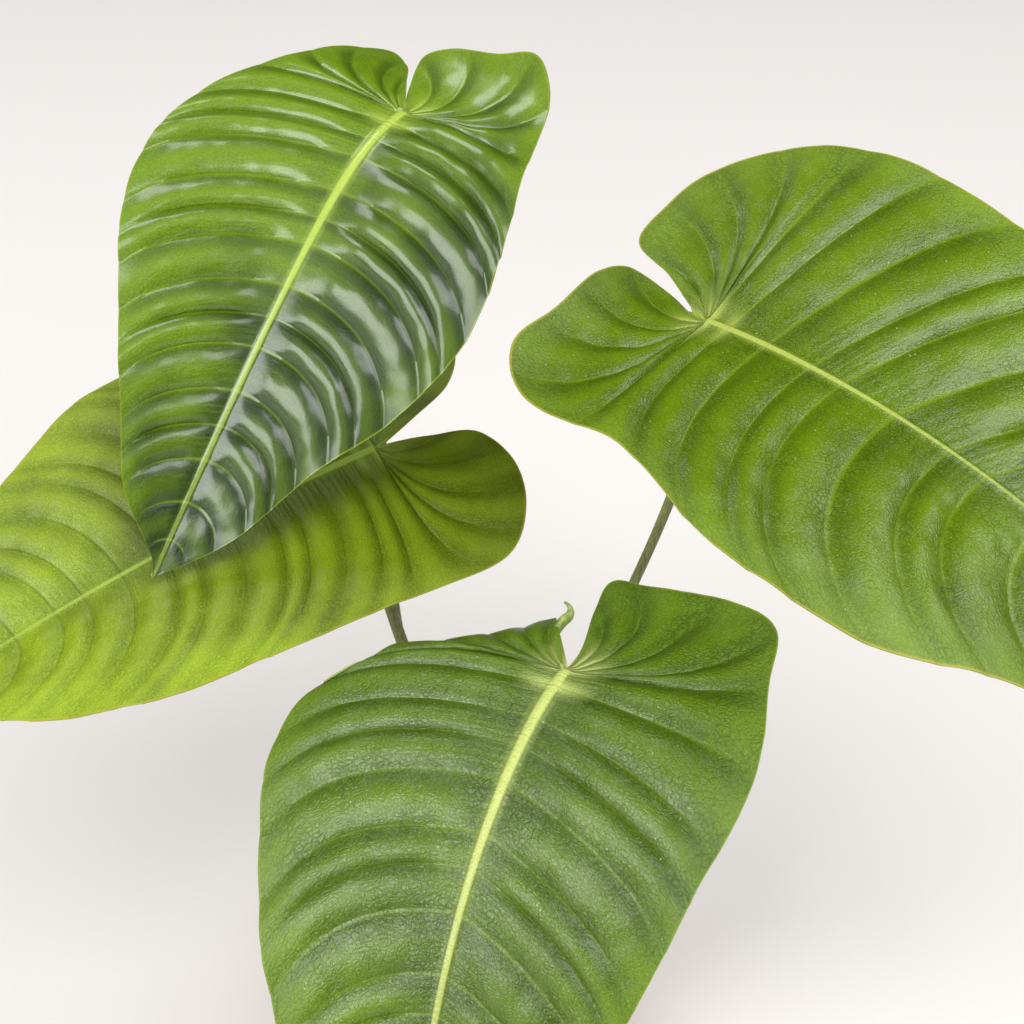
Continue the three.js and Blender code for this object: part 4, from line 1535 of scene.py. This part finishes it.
@dataclass
class PottingMix:
    """Bark mix: a crumbly bed with chips and white grit on it."""

    pot: Pot
    top: float = 134
    dome: float = 5
    roughness: float = 1.6
    gap: float = 0.4
    crown_radius: float = 17
    steps: int = 160
    chip_shapes: int = 6
    own_chips: ChipKind = ChipKind(30, length=(9, 12), thickness=(3.5, 3), from_crown=12,
                                   from_wall=13, corner_draws=24)
    more_chips: ChipKind = ChipKind(150, length=(4, 8), thickness=(1.6, 2.2), from_crown=7,
                                    from_wall=6)
    grits: int = 90
    grit_size: tuple[float, float] = (0.9, 2.1)
    grit_from_middle: float = 24
    grit_from_wall: float = 4

    def surface(self, radius: float | np.ndarray, turn: float | np.ndarray) -> np.ndarray:
        """Give the bed's height.

        Args:
            radius: Distance from the upright axis.
            turn: Angle in radians, counted from +Y.

        Returns:
            Height in millimetres.
        """
        dome = self.dome * (1 - (radius / self.pot.body_top_radius) ** 2)
        lumps = (np.sin(radius * 0.31 + 2.3 * np.sin(turn * 2)) + np.sin(turn * 5 + radius * 0.17)
                 + 0.6 * np.sin(turn * 9 - radius * 0.4))
        return self.top + dome + self.roughness * 0.5 * lumps

    def on_surface(self, radius: float, turn: float, above: float) -> Vector:
        """Give a place above the bed, in metres."""
        height = float(self.surface(radius, turn)) + above
        return Vector((radius * math.sin(turn), radius * math.cos(turn), height)) * MM

    def bed(self) -> bpy.types.Object:
        """Spin the bed and roughen its top.

        Returns:
            The bed, with the attribute tone.
        """
        edge = self.pot.inner(self.top) - self.gap
        foot = self.pot.floor + self.gap
        rings = [(float(radius), self.top) for radius in np.linspace(0, edge - 1.5, 60)]
        profile = [*rings, (edge, self.top - 3), (self.pot.inner(70) - self.gap, 70),
                   (self.pot.inner(foot) - 2 * self.gap, foot), (0, foot)]
        bed = spun("potting_mix_bed", profile, self.steps)
        points = get_points(bed) / MM
        radius = np.hypot(points[:, 0], points[:, 1])
        turn = np.arctan2(points[:, 0], points[:, 1])
        on_top = points[:, 2] > self.top - 0.5
        crumb = 0.55 * ripples(points[:, 0], points[:, 1], (2.5, 7.0), 11, 40)
        crumb += 0.5 * ripples(points[:, 0], points[:, 1], (7.0, 16.0), 12, 24)
        height = self.surface(radius, turn) + crumb * smooth(edge - radius, 0, 4)
        points[:, 2] = np.where(on_top, height, points[:, 2])
        set_points(bed, points * MM)
        store(bed, "tone", np.clip(0.3 * crumb, 0, 1) * on_top)
        smooth_faces(50)
        return bed

    def chip(self, random: np.random.Generator) -> bpy.types.Object:
        """Model one splintered chip from a bevelled and jittered cube.

        Args:
            random: Where the jitter comes from.

        Returns:
            The chip, 1 metre long.
        """
        deselect()
        bpy.ops.mesh.primitive_cube_add(size=1)
        chip = bpy.context.object
        bpy.ops.object.mode_set(mode="EDIT")
        bpy.ops.mesh.select_all(action="SELECT")
        bpy.ops.mesh.bevel(offset=0.10, segments=1)
        bpy.ops.object.mode_set(mode="OBJECT")
        points = get_points(chip)
        set_points(chip, points + random.uniform(-0.07, 0.07, points.shape))
        return chip

    def lay(self, name: str, shape: bpy.types.Mesh, kind: ChipKind,
            random: Callable[[], float]) -> bpy.types.Object:
        """Lay one chip on the bed.

        Args:
            name: The chip's name.
            shape: A chip 1 metre long.
            kind: The lot that it belongs to.
            random: The next number of 0 to 1.

        Returns:
            The chip.
        """
        length = kind.length[0] + kind.length[1] * random()
        width = length * (0.45 + 0.3 * random())
        thick = kind.thickness[0] + kind.thickness[1] * random()
        for _ in range(kind.corner_draws):
            random()
        turn = 2 * math.pi * random()
        inside = (self.crown_radius + kind.from_crown) ** 2
        outside = (self.pot.inner(self.top) - kind.from_wall) ** 2
        radius = math.sqrt(inside + (outside - inside) * random())
        tilt = (0.5 * (random() - 0.5), 0.5 * (random() - 0.5), 2 * math.pi * random())
        mesh = shape.copy()
        mesh.transform(Matrix.Translation(self.on_surface(radius, turn, 0.6))
                       @ Euler(tilt, "XYZ").to_matrix().to_4x4()
                       @ Matrix.Diagonal((length * MM, width * MM, thick * MM, 1)))
        return link_new(name, mesh)

    def chips(self) -> bpy.types.Object:
        """Lay the chips of the solids again, then smaller ones between them.

        Returns:
            All chips, with the attribute tone.
        """
        chance = np.random.default_rng(8)
        shapes = [self.chip(chance) for _ in range(self.chip_shapes)]
        lots = ((self.own_chips, PartRandom(4711)), (self.more_chips, chance.random))
        pieces = []
        for kind, random in lots:
            for _ in range(kind.count):
                index = len(pieces)
                shape = shapes[index % len(shapes)].data
                chip = self.lay(f"chip_{index}", shape, kind, random)
                store_evenly(chip, "tone", chance.random())
                pieces.append(chip)
        for shape in shapes:
            bpy.data.objects.remove(shape)
        return join(pieces, "bark_chips")

    def grit(self) -> bpy.types.Object:
        """Scatter small white volcanic grains.

        Returns:
            All grains, with the attribute tone.
        """
        chance = np.random.default_rng(21)
        outside = self.pot.inner(self.top) - self.grit_from_wall
        pieces = []
        for _ in range(self.grits):
            radius = math.sqrt(chance.uniform(self.grit_from_middle ** 2, outside ** 2))
            turn = chance.uniform(0, 2 * math.pi)
            size = chance.uniform(*self.grit_size)
            deselect()
            bpy.ops.mesh.primitive_ico_sphere_add(
                subdivisions=2, radius=size * MM,
                location=self.on_surface(radius, turn, 0.5 * size))
            grain = bpy.context.object
            bpy.ops.object.transform_apply(location=True, rotation=False, scale=False)
            points = get_points(grain)
            middle = points.mean(axis=0)
            lumps = 1 + chance.uniform(-0.16, 0.16, (len(points), 1))
            set_points(grain, middle + (points - middle) * lumps * (1, 1, 0.8))
            store_evenly(grain, "tone", chance.random())
            pieces.append(grain)
        whole = join(pieces, "white_grit")
        smooth_faces(30)
        return whole

    def build(self) -> None:
        """Build and dress the bed, chips and grit."""
        crumb = CrumbFinish("damp_crumb", (30, 20, 14), (58, 40, 28), (96, 70, 48), scale=700,
                            relief=0.7)
        bark = CrumbFinish("bark", (62, 38, 24), (104, 68, 42), (150, 108, 72), scale=420,
                           relief=0.45, stretch=0.5)
        grain = CrumbFinish("white_grain", (196, 190, 180), (222, 218, 210), (240, 238, 232),
                            scale=900, relief=0.2)
        for piece, look in ((self.bed(), crumb), (self.chips(), bark), (self.grit(), grain)):
            finish_piece(piece, look.build(), Slot.BARK_MIX, "potting_mix")


# Crown

@dataclass
class Crown:
    """The short stem: scarred body, papery bracts and aerial roots.

    A root is given as its turn round the stem in radians and its reach, a bract as its turn.
    """

    soil_top: float = 134
    radius: float = 17
    foot: float = 100
    top: float = 170
    root_radius: float = 2.8
    root_stations: int = 40
    roots: tuple[tuple[float, float], ...] = (
        (0.4, 26), (1.9, 20), (3.3, 30), (4.6, 22), (5.6, 17))
    bracts: tuple[float, ...] = (0.9, 2.6, 4.0, 5.2)

    def body(self) -> bpy.types.Object:
        """Spin the stem and give it leaf scars and lumps.

        Returns:
            The stem, with the attribute tone.
        """
        heights = np.linspace(self.soil_top - 8, self.top - 9, 34)
        rings = [(self.radius * (1 - 0.05 * smooth(z, self.soil_top + 12, self.top - 9)), z)
                 for z in heights]
        profile = [(0, self.foot), (self.radius * 0.7, self.foot + 2), *rings,
                   (self.radius * 0.86, self.top - 5), (self.radius * 0.7, self.top - 2),
                   (self.radius * 0.35, self.top - 0.4), (0, self.top)]
        body = spun("crown_stem", [(float(r), float(z)) for r, z in profile], 96)
        points = get_points(body) / MM
        turn = np.arctan2(points[:, 1], points[:, 0])
        above = smooth(points[:, 2], self.soil_top - 6, self.soil_top)
        scars = np.abs(np.sin(0.42 * points[:, 2] + 0.7 * np.sin(turn + 0.6)))
        lumps = 0.5 * ripples(turn * self.radius, points[:, 2], (5.0, 14.0), 5)
        scale = 1 + above * (0.035 * (scars - 0.8) + 0.02 * lumps)
        points[:, :2] *= scale[:, None]
        set_points(body, points * MM)
        store(body, "tone", np.clip(1 - scars * 1.4, 0, 1))
        return body

    def bract(self, index: int, turn: float) -> bpy.types.Object:
        """Shape one papery bract from a grid, wrapped round the stem and frayed at its tip.

        Args:
            index: Which bract.
            turn: Its place round the stem in radians.

        Returns:
            The bract, with the attribute tone.
        """
        height = 26 + 5 * (index % 2)
        deselect()
        bpy.ops.mesh.primitive_grid_add(x_subdivisions=24, y_subdivisions=30, size=2)
        bract = bpy.context.object
        flat = get_points(bract)
        side, rise = flat[:, 0], (flat[:, 1] + 1) / 2
        spread = np.interp(rise, np.linspace(0, 1, 6), (0.62, 0.6, 0.5, 0.32, 0.14, 0.03))
        fray = 1.2 * ripples(side * 9, rise * 2 + index, (1.5, 5.0), 31 + index) * rise ** 2
        buckle = 0.5 * ripples(side * 12, rise * height, (5.0, 14.0), 41 + index)
        radius = self.radius + 0.4 + 3.5 * rise ** 2 + buckle * (0.3 + rise)
        angle = turn + side * spread
        points = np.stack([radius * np.cos(angle), radius * np.sin(angle),
                           self.soil_top + 2 + (height + 2) * rise + fray], axis=1)
        set_points(bract, points * MM)
        sheet = bract.modifiers.new("paper", "SOLIDIFY")
        sheet.thickness = 0.5 * MM
        sheet.offset = 0
        apply_modifiers(bract)
        bpy.ops.object.mode_set(mode="EDIT")
        bpy.ops.mesh.select_all(action="SELECT")
        bpy.ops.mesh.normals_make_consistent(inside=False)
        bpy.ops.object.mode_set(mode="OBJECT")
        store_evenly(bract, "tone", 0.4 + 0.15 * index)
        smooth_faces(50)
        return bract

    def root(self, turn: float, reach: float) -> bpy.types.Object:
        """Model one aerial root that arches from the crown into the mix.

        Args:
            turn: Its place round the stem in radians.
            reach: How far from the stem it goes in.

        Returns:
            The root.
        """
        curve = SmoothCurve((
            (self.radius * 0.5, self.soil_top + 14), (self.radius + 5, self.soil_top + 13),
            (self.radius + reach * 0.6, self.soil_top + 8),
            (self.radius + reach, self.soil_top - 6)))
        share = np.linspace(0, 1, self.root_stations)
        out, height = curve.at(share)
        aside = 0.6 * np.sin(7 * share + turn)
        cos, sin = math.cos(turn), math.sin(turn)
        centre = np.stack([out * cos - aside * sin, out * sin + aside * cos, height], axis=1)
        radius = self.root_radius - 0.9 * share + 0.15 * np.sin(share * 31 + turn)
        return tube("root", centre, radius, 6)

    def build(self) -> None:
        """Build and dress the stem, bracts and roots."""
        stem = CrumbFinish("stem_skin", (66, 52, 30), (104, 86, 48), (146, 128, 84), scale=260,
                           relief=0.35)
        paper = CrumbFinish("dry_bract", (112, 82, 48), (148, 116, 72), (190, 164, 118),
                            scale=500, relief=0.25, stretch=0.12, roughness=0.7)
        root = CrumbFinish("root_skin", (120, 108, 72), (156, 146, 104), (190, 184, 150),
                           scale=500, relief=0.25, stretch=0.4, roughness=0.8)
        finish_piece(self.body(), stem.build(), Slot.CROWN_BARK, "crown")
        bracts = [self.bract(index, turn) for index, turn in enumerate(self.bracts)]
        finish_piece(join(bracts, "crown_bracts"), paper.build(), Slot.CROWN_BARK, "crown")
        roots = join([self.root(turn, reach) for turn, reach in self.roots], "aerial_roots")
        store_evenly(roots, "tone", 0.3)
        finish_piece(roots, root.build(), Slot.CROWN_BARK, "crown")


# The front leaf's rolled corner

@dataclass(frozen=True)
class RolledCorner:
    """The tip of the front leaf's left lobe, rolled up into a small pale tongue.

    It leaves the lobe's corner, leans over in one slow arc and hooks back in a tight one. Both arcs
    lie in a plane that leans back from upright.
    """

    foot: Place = (27.5, -101, 532)
    lean_back: float = 40
    first_heading: float = 80
    slow_radius: float = 12
    slow_turn: float = -45
    hook_radius: float = 4
    hook_turn: float = 125
    thickness: float = 2.4
    tip_thickness: float = 0.6
    steps: int = 18

    def centre(self) -> np.ndarray:
        """Walk both arcs.

        Returns:
            Points of the middle line in millimetres.
        """
        heading = math.radians(self.first_heading)
        across, rise = [0.0], [0.0]
        for radius, turn in ((self.slow_radius, self.slow_turn),
                             (self.hook_radius, self.hook_turn)):
            step = math.radians(turn) / self.steps
            for _ in range(self.steps):
                heading += step
                across.append(across[-1] + radius * abs(step) * math.cos(heading))
                rise.append(rise[-1] + radius * abs(step) * math.sin(heading))
        back = math.radians(self.lean_back)
        rise = np.array(rise)
        return np.array(self.foot) + np.stack(
            [np.array(across), rise * math.sin(back), rise * math.cos(back)], axis=1)

    def build(self) -> None:
        """Build and dress the tongue, fullest in its lower part and thin at its tip."""
        centre = self.centre()
        share = np.linspace(0, 1, len(centre))
        body = smooth(share, -0.4, 0.35) - smooth(share, 0.45, 1)
        radius = self.tip_thickness + (self.thickness - self.tip_thickness) * body
        skin = CrumbFinish("rolled_skin", (84, 104, 30), (124, 140, 62), (166, 178, 98),
                           scale=220, relief=0.1, stretch=0.2, roughness=0.5)
        finish_piece(tube("rolled_corner", centre, radius, 14), skin.build(), Slot.LEAF_DEEP,
                     "blade_4")


# The four leaves

LEAF_1 = Leaf(
    number=1, junction=(-49, 155, 662), length=284, heading=228, pitch=46, roll=-4,
    neck=42, droop=6, sweep=-2, twist=-26, ridges=15, ridge_height=3.8, margin_wave=1.6, seed=0.7,
    left=Half(
        sign=1, lobe_droop=-55, fold=12, tip_fold=2, arch=16, fan=0.39, spread=0.9, lean=-0.12,
        outline=(
            (-2.3, -1.6), (-21, -16), (-40, -25), (-49, -8), (-54, 28), (-60, 54), (-44, 71),
            (-11, 83), (44, 103), (101, 103), (150, 84), (195, 56), (242, 34), (264, 18), (275, 8),
            (284, 0))),
    right=Half(
        sign=-1, lobe_droop=12, fold=3, tip_fold=25, arch=0, fan=0.35, spread=0.88, lean=0.3,
        outline=(
            (-2.3, 1.6), (-24, 22), (-45, 43), (-52, 63), (-34, 74), (3, 84), (45, 103), (96, 106),
            (147, 82), (198, 55), (246, 31), (265, 13), (275, 4), (284, 0))),
    petiole=Petiole(foot=(-7, 9, 158), bend=((-96, 132, 292), (-84, 213, 452)), radius=3.4,
                    seat=3.4),
    finish=LeafFinish(
        "glossy_leaf", deep=(44, 68, 1), fresh=(108, 139, 1), rib=(166, 186, 76),
        vein=(120, 145, 29), vein_strength=0.35, net_strength=0.25, roughness=0.38, coat=0.7,
        coat_roughness=0.2, grain=0.34, specular=0.3, rim=(127, 143, 18), fresh_along=0.36,
        # The side drift here is partly painted light: the half turned to the left-hand lights is
        # lighter, the other half darker.
        fresh_and_lit_side=-0.68, wrinkle=1.2, dull_edge=0.25, painted_flank_shade=0.55),
    slot=Slot.LEAF_GLOSSY, ripple=0.18)

LEAF_2 = Leaf(
    number=2, junction=(-70, 90, 490), length=370, heading=206, pitch=10, roll=-13,
    neck=0, droop=20, sweep=-4, twist=0, ridges=18, ridge_height=1.8, margin_wave=1.4, seed=2.1,
    left=Half(
        sign=1, lobe_droop=5, fold=10, tip_fold=15, arch=12, fan=0.3, spread=0.83, lean=-0.2,
        outline=(
            (-4, 0), (-31, 6), (-56, 15), (-65, 44), (-58, 77), (-36, 102), (8, 105), (66, 100),
            (132, 95), (196, 77), (258, 40), (319, 12), (370, 0))),
    right=Half(
        sign=-1, lobe_droop=10, fold=25, tip_fold=12, arch=0, fan=0.34, spread=0.89, lean=0.1,
        outline=(
            (-4, 0), (-29, 9), (-55, 22), (-65, 42), (-55, 64), (-25, 83), (20, 94), (77, 102),
            (141, 101), (202, 77), (266, 47), (324, 17), (370, 0))),
    petiole=Petiole(foot=(-10, -2, 158), bend=((-22, 54, 292), (-92, 72, 394)), radius=3.8,
                    seat=3),
    finish=LeafFinish(
        "lime_leaf", deep=(104, 120, 4), fresh=(148, 170, 30), rib=(150, 172, 72),
        vein=(63, 77, 4), vein_strength=0.4, net_strength=0.35, roughness=0.38, coat=0.0,
        coat_roughness=0.4, grain=0.14, specular=0.32, rim=(152, 147, 41), fresh_along=-0.3,
        fresh_and_lit_side=0.1, rib_scale=0.75, painted_flank_shade=0.12),
    slot=Slot.LEAF_LIME, ripple=0.2)

LEAF_3 = Leaf(
    number=3, junction=(107, 64, 591), length=420, heading=-37, pitch=2, roll=1,
    neck=3, droop=44, sweep=-1, twist=9, ridges=15, ridge_height=3.4, margin_wave=1.8, seed=4.2,
    left=Half(
        sign=1, lobe_droop=-12, fold=22, tip_fold=10, arch=0, fan=0.31, spread=0.81, lean=0.5,
        outline=(
            (-11.5, 5.1), (-36, 18.5), (-60, 26), (-61, 50), (-53, 86), (-23, 119), (26, 135),
            (91, 133), (164, 116), (238, 91), (312, 58), (374, 26), (420, 0))),
    right=Half(
        sign=-1, lobe_droop=-35, fold=6, tip_fold=4, arch=10, fan=0.3, spread=0.87, lean=-0.24,
        outline=(
            (-11.5, -5.1), (-29, -11), (-51, -6), (-60, 18), (-58, 57), (-57, 92), (-34, 112),
            (21, 110), (87, 129), (158, 122), (224, 86), (299, 48), (366, 19), (420, 0))),
    petiole=Petiole(foot=(9, 6, 158), bend=((28, 55, 333), (118, 56, 464)), radius=3.0,
                    seat=3),
    finish=LeafFinish(
        "satin_leaf", deep=(91, 116, 3), fresh=(114, 143, 4), rib=(164, 176, 84),
        vein=(134, 154, 47), vein_strength=0.25, net_strength=0.5, roughness=0.31, coat=0.08,
        coat_roughness=0.3, grain=0.18, specular=0.42, rim=(157, 152, 41), fresh_along=-0.1,
        freckles=0.4, rib_scale=0.62),
    slot=Slot.LEAF_SATIN, ripple=0.26)

LEAF_4 = Leaf(
    number=4, junction=(31, -129, 538), length=370, heading=236, pitch=32, roll=0,
    neck=29, droop=52, sweep=37, twist=-5, ridges=18, ridge_height=2.6, margin_wave=1.6, seed=5.5,
    left=Half(
        sign=1, lobe_droop=0, fold=20, tip_fold=5, arch=15, fan=0.31, spread=0.8, lean=0.25,
        outline=(
            (-3.5, -1.3), (-16, -2), (-40, -10), (-61, -14), (-62, 4), (-62, 46), (-52, 74),
            (-21, 86), (18, 99), (71, 92), (136, 77), (202, 57), (269, 35), (327, 15), (370, 0))),
    right=Half(
        sign=-1, lobe_droop=0, fold=-8, tip_fold=8, arch=12, fan=0.31, spread=0.88, lean=0.2,
        outline=(
            (-3.5, 1.3), (-11, 8), (-22, 18), (-35, 30), (-46, 43), (-51, 60), (-41, 78),
            (-19, 88), (21, 92), (60, 118), (114, 103), (175, 71), (247, 42), (315, 16), (370, 0)),
        curl=Curl(along=-8, out=28, turn=145, radius=31)),
    petiole=Petiole(foot=(5, -9, 158), bend=((14, -49, 283), (22, -89, 409)), radius=3.2,
                    seat=3.2),
    finish=LeafFinish(
        "deep_leaf", deep=(80, 106, 6), fresh=(106, 136, 5), rib=(184, 194, 110),
        vein=(111, 134, 47), vein_strength=0.25, net_strength=0.6, roughness=0.31, coat=0.08,
        coat_roughness=0.3, grain=0.22, specular=0.42, rim=(116, 134, 29), fresh_along=-0.16,
        freckles=0.35, rib_scale=0.9),
    slot=Slot.LEAF_DEEP, ripple=0.24)


# Studio

@dataclass(frozen=True)
class Softbox:
    """An area light: its middle and size in metres and its power in watts."""

    name: str
    place: Place
    size: tuple[float, float]
    power: float

    def hang(self, target: Place) -> None:
        """Hang the light.

        Args:
            target: The place that it faces.
        """
        light = bpy.data.lights.new(self.name, "AREA")
        light.shape = "RECTANGLE"
        light.size, light.size_y = self.size
        light.energy = self.power
        lamp = link_new(self.name, light)
        lamp.location = self.place
        way = Vector(target) - Vector(self.place)
        lamp.rotation_euler = way.to_track_quat("-Z", "Y").to_euler()


@dataclass
class Studio:
    """The ground, the room, the soft lights and the camera.

    Places and the floor are in metres, the sensor is in millimetres.
    """

    camera_place: Place = (0.008, -0.546, 0.977)
    camera_down: float = 40.0
    focal_pixels: float = 1407.0
    sensor: float = 36.0
    clip: tuple[float, float] = (0.01, 50)
    floor_size: float = 16.0
    room_light: Colour = (0.97, 0.98, 1.0)
    room_strength: float = 0.04
    room_seen: Colour = (0.86, 0.84, 0.83)
    light_target: Place = (0, 0, 0.5)
    softboxes: tuple[Softbox, ...] = (
        Softbox("left_window", place=(-5.5, -3.2, 3.3), size=(5.0, 3.5), power=490),
        Softbox("front_window", place=(3.2, -3.2, 5.9), size=(4.0, 4.0), power=290),
        Softbox("front_sky", place=(0.0, -3.3, 6.7), size=(3.0, 3.0), power=190),
        Softbox("right_window", place=(5.0, 0.0, 5.4), size=(4.5, 4.0), power=240),
        Softbox("back_sky", place=(-3.7, 2.6, 5.9), size=(2.2, 2.2), power=120))

    def floor(self) -> None:
        """Lay the pale ground."""
        deselect()
        bpy.ops.mesh.primitive_plane_add(size=self.floor_size, location=(0, 0, 0))
        ground = bpy.context.object
        ground.name = "ground"
        ground.data.materials.append(FloorFinish().build())

    def room(self) -> None:
        """Make the room faint as a light and pale where the camera sees it."""
        world = bpy.data.worlds.new("pale_room")
        world.use_nodes = True
        nodes, links = world.node_tree.nodes, world.node_tree.links
        light = nodes["Background"]
        light.inputs["Color"].default_value = (*self.room_light, 1)
        light.inputs["Strength"].default_value = self.room_strength
        seen = nodes.new("ShaderNodeBackground")
        seen.inputs["Color"].default_value = (*self.room_seen, 1)
        path = nodes.new("ShaderNodeLightPath")
        choose = nodes.new("ShaderNodeMixShader")
        sources = (path.outputs["Is Camera Ray"], light.outputs[0], seen.outputs[0])
        for source, socket in zip(sources, choose.inputs):
            links.new(source, socket)
        links.new(choose.outputs[0], nodes["World Output"].inputs[0])
        bpy.context.scene.world = world

    def camera(self) -> None:
        """Place the camera as the photograph was taken."""
        data = bpy.data.cameras.new("view")
        data.sensor_width = self.sensor
        data.lens = self.focal_pixels / PHOTO_SIZE * self.sensor
        data.clip_start, data.clip_end = self.clip
        eye = link_new("view", data)
        eye.location = self.camera_place
        eye.rotation_euler = (math.radians(90 - self.camera_down), 0, 0)
        bpy.context.scene.camera = eye

    def build(self) -> None:
        """Build the studio."""
        self.camera()
        self.room()
        for softbox in self.softboxes:
            softbox.hang(self.light_target)
        self.floor()
        bpy.context.scene.view_settings.view_transform = "Standard"


def main() -> None:
    """Build the plant and its studio."""
    logging.basicConfig(level=logging.INFO, format="%(name)s %(message)s")
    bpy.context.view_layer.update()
    Studio().build()
    pot = Pot()
    pot.build()
    PottingMix(pot).build()
    Crown().build()
    stalk_skin = PetioleFinish().build()
    for leaf in (LEAF_1, LEAF_2, LEAF_3, LEAF_4):
        leaf.build(stalk_skin)
    RolledCorner().build()
    deselect()


if __name__ == "__main__":
    main()
